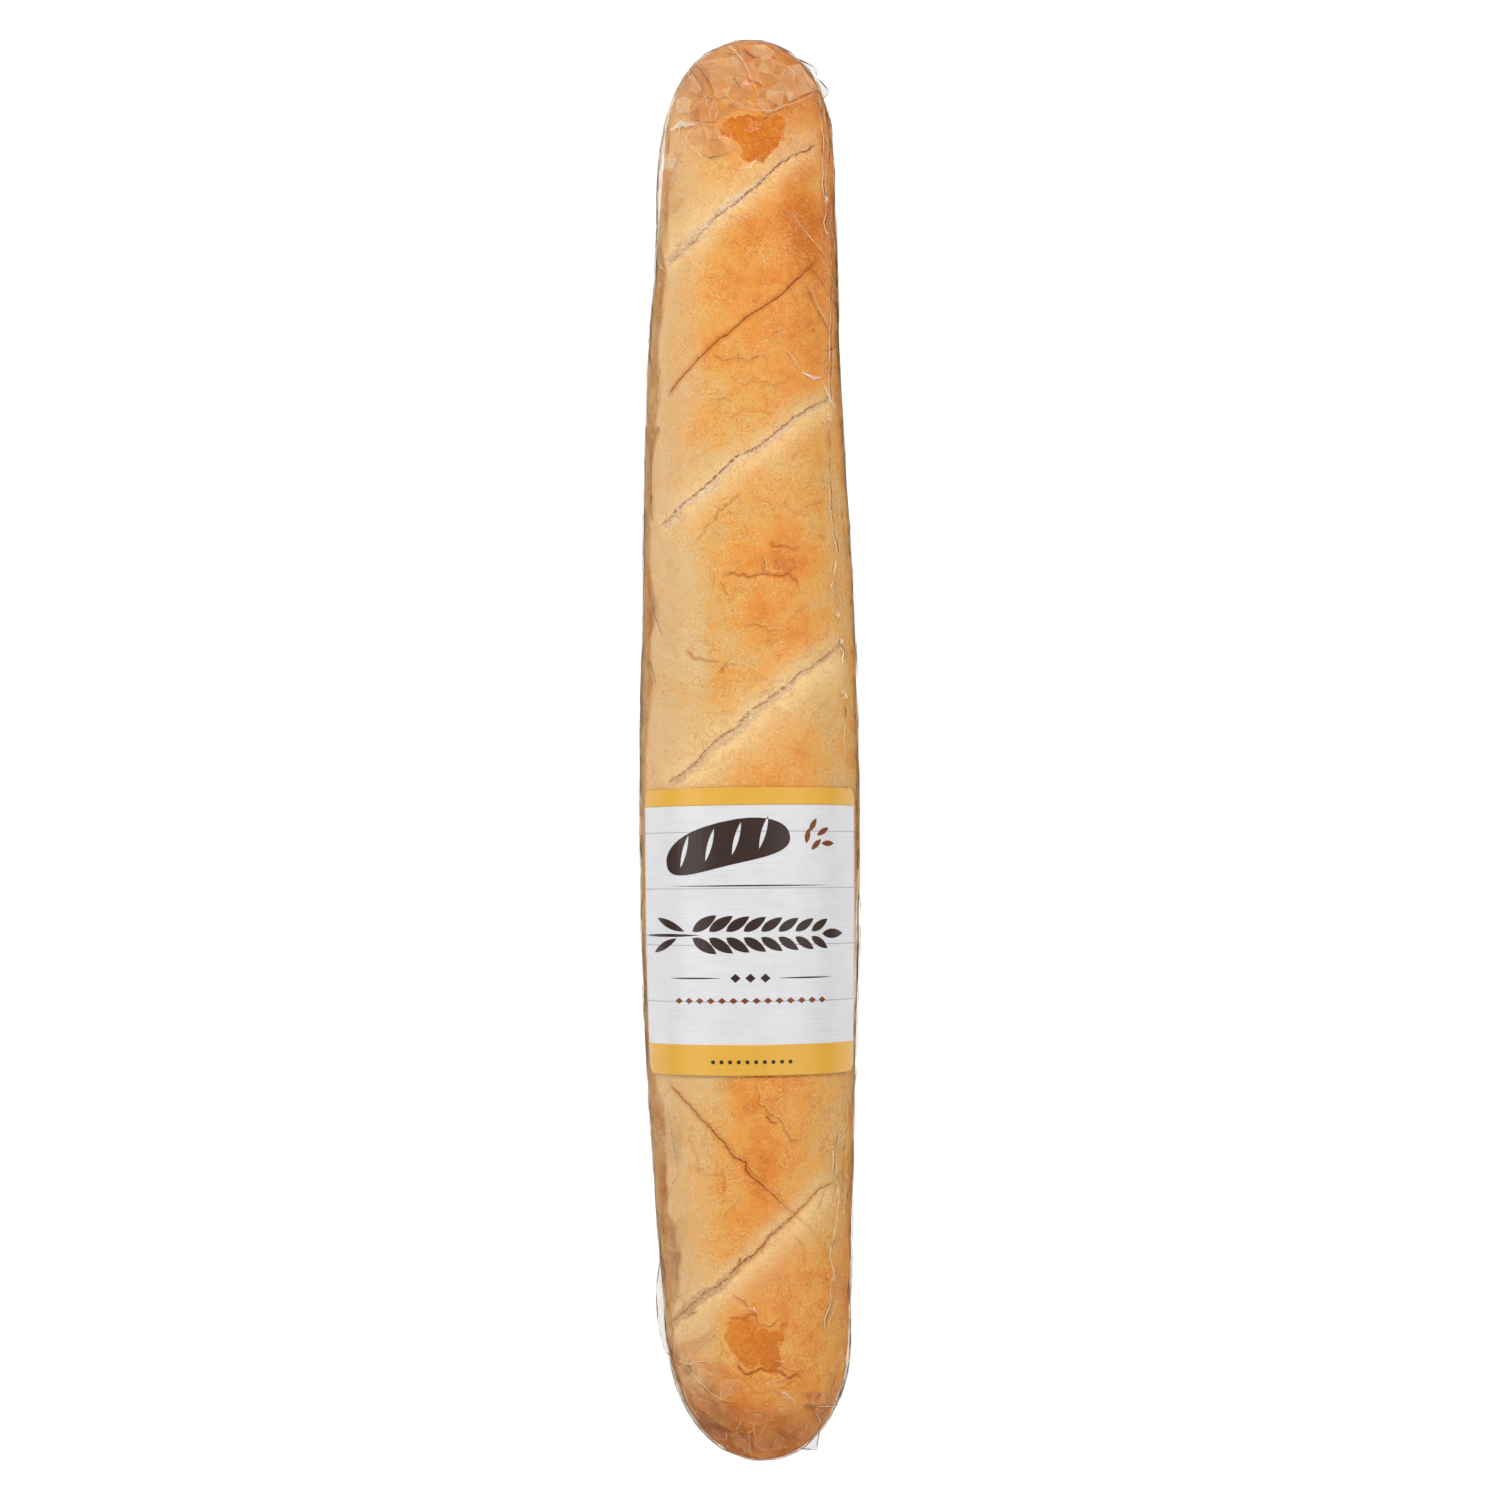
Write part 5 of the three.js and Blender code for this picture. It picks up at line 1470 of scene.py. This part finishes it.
def filmMaterial(name, gloss, clearness=0.985, edge=1.0, toned=False):
    r = newRecipe(name)
    place = r.place()
    ripple = r.noise(place, 9, detail=2) * 0.5 + r.noise(place, 3.0, detail=2) * 0.12
    normal = r.bump(ripple, 0.5)
    slant = r.add("ShaderNodeLayerWeight", {}, {"Blend": 0.5, "Normal": normal}, output="Facing")
    edgeOn = slant + (r.noise(place, 5, detail=2) - 0.5) * 0.1
    shine = (slant ** 5.0 * 0.96 + 0.022) * gloss * (1 - r.value("stuck") * 0.6)
    shine = shine * slant.fade(0.35, 0.65, 1.0, 0.1)
    smear = r.noise(place, 22, detail=3).fade(0.45, 0.75)
    # milky film, partly painted glare
    milkGlare = (r.value("haze") * (0.5 + smear) + r.value("facetHaze")).held()
    clear = r.add("ShaderNodeBsdfTransparent", {}, {"Color": (clearness, clearness, clearness * 0.995, 1.0)})
    # painted shade: the film is tinted darker where it is seen edge-on, and dark at its very outline
    edgeDimTint = r.add("ShaderNodeBsdfTransparent", {}, {"Color": (0.90, 0.86, 0.80, 1.0)})
    edgeShadeTint = r.add("ShaderNodeBsdfTransparent", {}, {"Color": (0.28, 0.23, 0.17, 1.0)})
    milkGlareShadeTone = seen(250, 208, 160)
    if toned:
        # the folded facets are painted from white glare through orange to brown shade
        milkGlareShadeTone = r.add("ShaderNodeValToRGB", {"stops": [
            (0.0, seen(255, 246, 232)), (0.25, seen(255, 214, 160)), (0.5, seen(246, 176, 108)),
            (0.75, seen(222, 142, 70)), (1.0, seen(132, 62, 14))]}, {0: r.value("facetTone")})
    white = r.add("ShaderNodeBsdfPrincipled", {}, {
        "Base Color": milkGlareShadeTone, "Roughness": 0.4, "Specular IOR Level": 0.1 if toned else 0.4})
    mirror = r.add("ShaderNodeBsdfPrincipled", {}, {
        "Base Color": (0.96, 0.96, 0.96, 1.0), "Metallic": 1.0, "Roughness": 0.09, "Normal": normal})
    broken = r.noise(place, 8, detail=3).fade(0.38, 0.60, 0.3, 1.0) * edge
    body = r.add("ShaderNodeMixShader", {}, {0: edgeOn.fade(0.55, 0.80) * edge, 1: clear, 2: edgeDimTint})
    edgeShadeShare = edgeOn.fade(0.68, 0.88) * broken * film["edgeShade"]
    body = r.add("ShaderNodeMixShader", {}, {0: edgeShadeShare, 1: body, 2: edgeShadeTint})
    body = r.add("ShaderNodeMixShader", {}, {0: milkGlare, 1: body, 2: white})
    return r.finish(r.add("ShaderNodeMixShader", {}, {0: shine.held(), 1: body, 2: mirror}))


def buildFacets():
    # flat facets of film that lies folded on the loaf, painted from white glare to brown shade, and its sharp
    # creases
    rng = np.random.default_rng(31)
    points, faces, facetHaze, facetTone, lines = [], [], [], [], []

    def lifted(plan, lift):
        spots = overCrust(plan)
        angle = angleOf(spots[:, 1], spots[:, 0])
        return skinPoints(spots[:, 1], angle, lift + slackAt(spots[:, 1], angle))

    for tone, strength, outline in filmFacets:
        flat, triangles = fillLoops([outline], facetSheet["spacing"], rng)
        height = facetSheet["lift"] + rng.uniform(-0.25, 0.35, len(flat))
        upper, lower = (lifted(flat.tolist(), height - down) for down in (0, facetSheet["thickness"]))
        sheet, sheetFaces = thickened(upper, lower, triangles)
        faces += [[k + len(points) for k in f] for f in sheetFaces]
        points += sheet.tolist()
        milkGlare = facetSheet["milkNear"] if outline[0][1] < 0 else facetSheet["milkFar"]
        milkGlare = strength * milkGlare * rng.uniform(0.55, 1.3, len(triangles))
        shade = np.clip(tone + rng.normal(0, facetSheet["toneSpread"], len(triangles)), 0, 1)
        edges = len(sheetFaces) - 2 * len(triangles)
        facetHaze += milkGlare.tolist() + milkGlare.tolist() + [0.0] * edges
        facetTone += shade.tolist() + shade.tolist() + [0.0] * edges
        if strength < facetSheet["creased"]:
            continue
        # creases with painted highlights and painted shade along the facet's outline
        for a, b in zip(outline, outline[1:] + outline[:1]):
            if rng.random() < 0.6:
                t = np.linspace(0.03, 0.97, 6)[:, None]
                way = np.array(a) + (np.array(b) - a) * t + rng.normal(0, 0.12, (6, 2))
                bright = rng.choice([0.25, 0.45, 0.7, -0.25, -0.4])
                lines.append(crease(lifted(way.tolist(), 0.9), rng.uniform(0.4, 0.9), bright))
    for bright, wide, plan in endCreases:
        steps = np.linspace(0, len(plan) - 1, 3 * (len(plan) - 1) + 1)
        way = placesOn(np.array(plan), range(len(plan)), steps)
        way[1:-1] += rng.normal(0, 0.14, way[1:-1].shape)
        lines.append(crease(lifted(way.tolist(), facetSheet["creaseLift"]), wide, bright))
    piece = makePiece("film_facets", points, faces, smooth=False,
                      faceValues={"facetHaze": facetHaze, "facetTone": facetTone})
    finishPiece(piece, filmMaterial("folded_film", 0.3, edge=0.0, toned=True), "film", "wrapped_loaf")
    return lines


# crinkles of the film along both flanks, with painted highlights and painted shade: tight ones at the widest
# line, and long soft ones lower down
flankFolds = {
    "reach": (-232.0, 236.0),
    "lengths": (4, 19),
    "bright": (-0.8, -0.6, -0.4, 0.6, 1.0),  # their painted highlight (below 0, painted shade)
    "shares": (0.2, 0.25, 0.2, 0.2, 0.15),   # and how often each of these comes up
    "often": 0.8,
    "long": 60,              # how many long ones
    "longLengths": (10, 34),
    "longGlintShade": (0.2, 0.35, 0.6, -0.2),
    "lift": 0.1,
}


def edgeFolds():
    rng = np.random.default_rng(37)
    lines = []
    f = flankFolds
    for side in (0.0, halfTurn):
        station, stop = f["reach"]
        while station < stop:
            length = rng.uniform(*f["lengths"])
            marks = np.linspace(station, station + length, max(4, int(length / 1.6)))
            turn = np.linspace(rng.normal(2, 6), rng.normal(2, 6), len(marks))
            turn = np.radians(turn + rng.normal(0, 0.7, len(marks)))
            turn = side + turn * math.cos(side)
            path = skinPoints(marks, turn, f["lift"] + slackAt(marks, turn))
            bright = rng.choice(f["bright"], p=f["shares"])
            if rng.random() < f["often"]:
                lines.append(crease(path, rng.uniform(0.8, 1.8), bright))
            station += length * rng.uniform(0.7, 1.3)
    for _ in range(f["long"]):
        side = rng.choice([0.0, halfTurn])
        station, length = rng.uniform(-225, 225), rng.uniform(*f["longLengths"])
        marks = np.linspace(station, station + length * rng.choice([-1, 1]), 9)
        marks = np.clip(marks, -236, 238)
        turn = np.linspace(rng.uniform(-26, -2), rng.uniform(-44, -8), 9)
        turn = np.radians(turn + rng.normal(0, 0.8, 9))
        turn = turn if side == 0.0 else halfTurn - turn
        path = skinPoints(marks, turn, f["lift"] + slackAt(marks, turn))
        lines.append(crease(path, rng.uniform(0.5, 1.1), rng.choice(f["longGlintShade"])))
    return lines


creaseLines = buildFilm() + buildLap() + buildWings() + buildFacets() + edgeFolds()
creasePoints, creaseFaces, creaseBrights = ridges(creaseLines)
creases = makePiece("film_creases", creasePoints, creaseFaces, {"bright": creaseBrights}, smooth=False)
finishPiece(creases, creaseMaterial(), "film", "wrapped_loaf")
print("film done")


label = {
    "rows": 60,
    "columns": 56,
    "cornerRows": 8,
    "gap": 0.32,
    "thickness": 0.22,
    "bandFar": 6.2,      # depth of the golden bands
    "bandNear": 10.9,
    "boards": 20.0,      # spacing of the faint board lines
    "bandLifts": (0.02, 0.06),       # of the bands off the paper
    "bandOver": 0.02,    # how far the bands run past its edge
    "printGap": 0.02,    # between the paper and the print
    "ink": 0.05,         # thickness of the print
    "printSpacing": 2.4,
}


def labelPoints(around, along, lift):
    # a place on the label, measured flat from its centre, as a point over the film
    p = labelPlace
    station = p["middle"] + along * (1 - p["pinch"] / 50 * (around / p["around"] * 2) ** 2)
    crown = ringRadius(station, np.full(np.shape(station), halfTurn / 2))
    station = station + p["tilt"] * crown * np.sin(around / (loafForm["width"] / 2))
    angle = angleOf(station, around + p["shift"])
    return skinPoints(station, angle, slackAt(station, angle) + lift)


def labelEdge(along):
    # half width of the label with its rounded corners
    p = labelPlace
    into = np.maximum(0, p["corner"] - (p["along"] / 2 - np.abs(along)))
    inset = p["corner"] - np.sqrt(np.maximum(0, p["corner"] ** 2 - into ** 2))
    return p["around"] / 2 - inset


def sheetPiece(name, rowsAt, edgeAt, low, high, material, slot, nodes=()):
    # a thin sheet on the label between two lifts, closed all round
    columns = label["columns"]
    along = np.repeat(rowsAt[:, None], columns, axis=1)
    around = edgeAt(rowsAt)[:, None] * np.linspace(-1, 1, columns)[None, :]
    upper = labelPoints(around, along, high).reshape(-1, 3)
    lower = labelPoints(around, along, low).reshape(-1, 3)
    faces = closedSheetFaces(len(rowsAt), columns, len(upper))
    maps = np.stack([around, along], axis=-1).reshape(-1, 2) / 100
    piece = makePiece(name, np.concatenate([upper, lower]), faces, maps=np.concatenate([maps, maps]))
    return finishPiece(piece, material, slot, *nodes)


def paperMaterial(name, colour, boards=False):
    # satin coated paper, printed in one colour
    r = newRecipe(name)
    place = r.place()
    tint = r.noise(place, 7, detail=3)
    fibre = r.noise(place, 0.5, detail=2)
    shade = tuple(c * 0.86 for c in colour[:3]) + (1.0,)
    tone = r.blend((1 - tint.fade(0.3, 0.7)) * 0.35, colour, shade)
    if boards:
        flat = r.add("ShaderNodeUVMap", {"uv_map": "flatMap"})
        stretched = r.add("ShaderNodeMapping", {}, {"Vector": flat, "Scale": (6.0, 160.0, 1.0)})
        streak = r.add("ShaderNodeTexNoise", {}, {"Vector": stretched, "Scale": 1.0, "Detail": 3.0})
        tone = r.blend(streak.fade(0.42, 0.75) * 0.30, tone, seen(196, 196, 199))
        along = r.add("ShaderNodeSeparateXYZ", {}, {"Vector": flat}, output="Y") * 100 + 4.7
        ragged = r.add("ShaderNodeTexNoise", {}, {"Vector": stretched, "Scale": 2.2, "Detail": 2.0})
        ragged = (ragged - 0.5) * 0.5
        turns = along / label["boards"] + 40.5
        near = abs(turns.maths("FRACT", turns) - 0.5)
        gap = near * label["boards"] + ragged * 0.3
        tone = r.blend((1 - gap.fade(0.05, 0.3)) * 0.75, tone, seen(158, 157, 160))
    return r.finish(r.add("ShaderNodeBsdfPrincipled", {}, {
        "Base Color": tone,
        "Roughness": 0.24 + (tint - 0.5) * 0.08,
        "Specular IOR Level": 0.45,
        "Normal": r.bump(fibre, 0.03),
    }))


def buildLabel():
    p = labelPlace
    half = p["along"] / 2
    t = np.linspace(0, 1, label["cornerRows"] + 1)
    corner = p["corner"] * (1 - np.cos(t * halfTurn / 2))[:-1]
    inner = np.linspace(-half + p["corner"], half - p["corner"], label["rows"])
    rowsAt = np.concatenate([-half + corner, inner, (half - corner)[::-1]])
    white = paperMaterial("label_paper_white", seen(226, 226, 228), boards=True)
    gold = paperMaterial("label_print_gold", seen(230, 175, 66))
    bottom, top = label["gap"], label["gap"] + label["thickness"]
    sheetPiece("label_sheet", rowsAt, labelEdge, bottom, top, white, "label_paper", ["label"])
    (low, high), over = label["bandLifts"], label["bandOver"]
    for name, start, stop in (("label_band_far", half - label["bandFar"], half),
                              ("label_band_near", -half, -half + label["bandNear"])):
        inside = rowsAt[(rowsAt > start + 0.2) & (rowsAt < stop - 0.02)]
        band = np.concatenate([[start], inside, [stop]])
        sheetPiece(name, band, lambda v: labelEdge(v) + over, top + low, top + high, gold, "label_gold")


def turned(loop, x, y, degrees):
    c, s = math.cos(math.radians(degrees)), math.sin(math.radians(degrees))
    return [(x + c * a - s * b, y + s * a + c * b) for a, b in loop]


def leaf(x, y, length, width, degrees, blunt=1.0, count=9):
    # a pointed oval, fuller towards its start when blunt is above 1
    t = np.linspace(0, 1, count)
    half = width / 2 * np.sin(halfTurn * t ** (1 / blunt)) ** 0.8
    upper = list(zip((t - 0.5) * length, half))
    return turned(upper + [(a, -b) for a, b in upper[-2:0:-1]], x, y, degrees)


def lozenge(x, y, width, height):
    return [(x - width / 2, y), (x, y - height / 2), (x + width / 2, y), (x, y + height / 2)]


def bar(x, y, length, width):
    # a rule with tapered ends
    return leaf(x, y, length, width, 0.0, count=13)


def loafPicture(x, y, length, height, degrees):
    t = np.linspace(0, 2 * halfTurn, 41)[:-1]
    a = length / 2 * np.sign(np.cos(t)) * np.abs(np.cos(t)) ** 0.7
    b = height / 2 * np.sign(np.sin(t)) * np.abs(np.sin(t)) ** 0.85 - 0.004 * a ** 2
    loops = [turned(list(zip(a, b)), x, y, degrees)]
    for at in (-0.32, -0.11, 0.10, 0.31):
        cx, cy = turned([(at * length, 0.05 * height)], x, y, degrees)[0]
        loops.append(leaf(cx, cy, height * 0.78, 1.7, degrees + 62))
    return loops


def wheatEar(x, y, pairs, step):
    shapes = [[leaf(x - pairs * step * 0.5 - 8, y - 0.2, 26, 1.1, 0)]]
    for k in range(pairs):
        at = x + (k - (pairs - 1) / 2) * step
        size = 1.0 - 0.035 * k
        for side in (-1, 1):
            aside = side * (3.7 * size + 0.3)
            shapes.append([leaf(at + 3.6, y + aside, 10.4 * size, 3.9 * size, side * 33, blunt=1.15)])
    shapes.append([leaf(x + pairs * step * 0.5 + 6.4, y, 9.5, 3.4, 0, blunt=1.15)])
    shapes.append([leaf(x - pairs * step * 0.5 - 7.0, y + 3.6, 13, 2.8, 158)])
    shapes.append([leaf(x - pairs * step * 0.5 - 9.5, y - 3.8, 12, 2.6, 205)])
    return shapes


def printPiece(name, shapes, material, slot, low):
    points, faces = [], []
    for loops in shapes:
        flat, triangles = fillLoops(loops, label["printSpacing"])
        upper = labelPoints(flat[:, 0], flat[:, 1], low + label["ink"])
        lower = labelPoints(flat[:, 0], flat[:, 1], low)
        sheet, sheetFaces = thickened(upper, lower, triangles)
        faces += [[k + len(points) for k in f] for f in sheetFaces]
        points += sheet.tolist()
    finishPiece(makePiece(name, points, faces, smooth=False), material, slot)


def buildPrint():
    brown = paperMaterial("label_print_brown", seen(56, 38, 32))
    russet = paperMaterial("label_print_russet", seen(128, 66, 32))
    top = label["gap"] + label["thickness"] + label["printGap"]
    dark = [loafPicture(-9.0, 31.0, 46.0, 15.5, 13.0)] + wheatEar(1.0, -1.0, 8, 5.9)
    dark += [[bar(0.0, 16.2, 58.0, 0.5)], [bar(-20.0, -16.4, 20.0, 0.55)], [bar(20.0, -16.4, 20.0, 0.55)]]
    dark += [[lozenge(x, -16.4, 3.6, 3.2)] for x in (-5.2, 0.0, 5.2)]
    printPiece("label_art_brown", dark, brown, "label_brown", top)
    warm = [[lozenge(x, -24.4, 2.9, 2.2)] for x in np.arange(-26, 27, 4.0)]
    warm += [[leaf(x, y, 5.4, 2.0, turn)] for x, y, turn in (
        (22.5, 37.5, 60), (26.5, 35.2, 30), (28.6, 31.0, 0), (23.8, 30.6, 45), (20.4, 33.6, 80))]
    printPiece("label_art_russet", warm, russet, "label_russet", top)
    dots = [[turned([(0.75 * math.cos(t), 0.75 * math.sin(t)) for t in np.linspace(0, 2 * halfTurn, 9)[:-1]],
                    x, -46.0, 0)] for x in np.arange(-13.5, 14, 3.0)]
    printPiece("label_dots", dots, brown, "label_brown", top + label["ink"])


buildLabel()
buildPrint()
print("label done")


studio = {
    "floor": seen(150, 150, 150),
    "floorGlow": 0.84,       # the floor is lit from below, so that it stays white beside the loaf
    "floorSize": 30.0,
    "lens": 250.0,
    "frameWidth": 0.5325,    # metres across the picture at the loaf's widest line
    "sensor": 36.0,
    "lineHeight": 0.022,     # and how high that line is
    "tent": 1.01,            # brightness of the tent
    "overhead": 0.58,        # and what is missing of it straight above, where the camera looks in
    "horizon": 0.3,          # share of that brightness low down
    "softEdge": 5.0,         # of the bright bands, in degrees
}
# bright bands of the tent: from and to, in degrees from straight up towards +X, reach along Y, brightness
tentBands = [
    (10.0, 42.0, 0.85, 0.6),
    (-63.0, -36.0, 0.85, 1.0),
]
keyLight = {"place": (0.05, 1.1, 1.5), "size": (0.5, 0.5), "power": 10.5, "tint": (1.0, 0.99, 0.985)}


def buildStudio():
    s = studio
    size = s["floorSize"] / 2 / mm
    corners = [(x * size, y * size, -0.2) for x, y in ((-1, -1), (1, -1), (1, 1), (-1, 1))]
    floor = makePiece("floor", corners, [(0, 1, 2, 3)])
    r = newRecipe("pale_floor")
    floor.data.materials.append(r.finish(r.add("ShaderNodeBsdfPrincipled", {}, {
        "Base Color": s["floor"], "Roughness": 0.9, "Specular IOR Level": 0.1,
        "Emission Color": (1.0, 1.0, 1.0, 1.0), "Emission Strength": s["floorGlow"]})))

    tent = Recipe(bpy.data.worlds.new("light_tent"))
    towards = tent.add("ShaderNodeTexCoord", output="Generated")
    x, y, z = (tent.add("ShaderNodeSeparateXYZ", {}, {"Vector": towards}, output=axis) for axis in "XYZ")
    lean = x.maths("ARCTAN2", x, z) * math.degrees(1)
    glow = (s["tent"] - z.fade(0.82, 0.96) * s["overhead"]) * z.fade(0.34, 0.54, s["horizon"], 1.0)
    soft = s["softEdge"]
    for start, stop, reach, strength in tentBands:
        band = lean.fade(start - soft, start + soft) * lean.fade(stop + soft, stop - soft)
        glow = glow + band * abs(y).fade(reach + 0.1, reach - 0.1) * strength
    light = tent.add("ShaderNodeBackground", {}, {"Strength": glow})
    bpy.context.scene.world = tent.finish(light, "ShaderNodeOutputWorld")

    k = keyLight
    data = bpy.data.lights.new("key_soft", "AREA")
    data.shape = "RECTANGLE"
    data.size, data.size_y = k["size"]
    data.energy = k["power"]
    data.color = k["tint"]
    lamp = bpy.data.objects.new("key_soft", data)
    lamp.location = k["place"]
    lamp.rotation_euler = (-Vector(k["place"])).to_track_quat("-Z", "Y").to_euler()
    lamp.visible_camera = False
    bpy.context.scene.collection.objects.link(lamp)

    data = bpy.data.cameras.new("overhead")
    data.lens = s["lens"]
    data.sensor_width = s["sensor"]
    data.clip_end = 60.0
    camera = bpy.data.objects.new("overhead", data)
    camera.location = (0.0, 0.0, s["frameWidth"] * s["lens"] / s["sensor"] + s["lineHeight"])
    bpy.context.scene.collection.objects.link(camera)
    bpy.context.scene.camera = camera
    bpy.context.scene.view_settings.view_transform = "Standard"


buildStudio()
print("studio done")
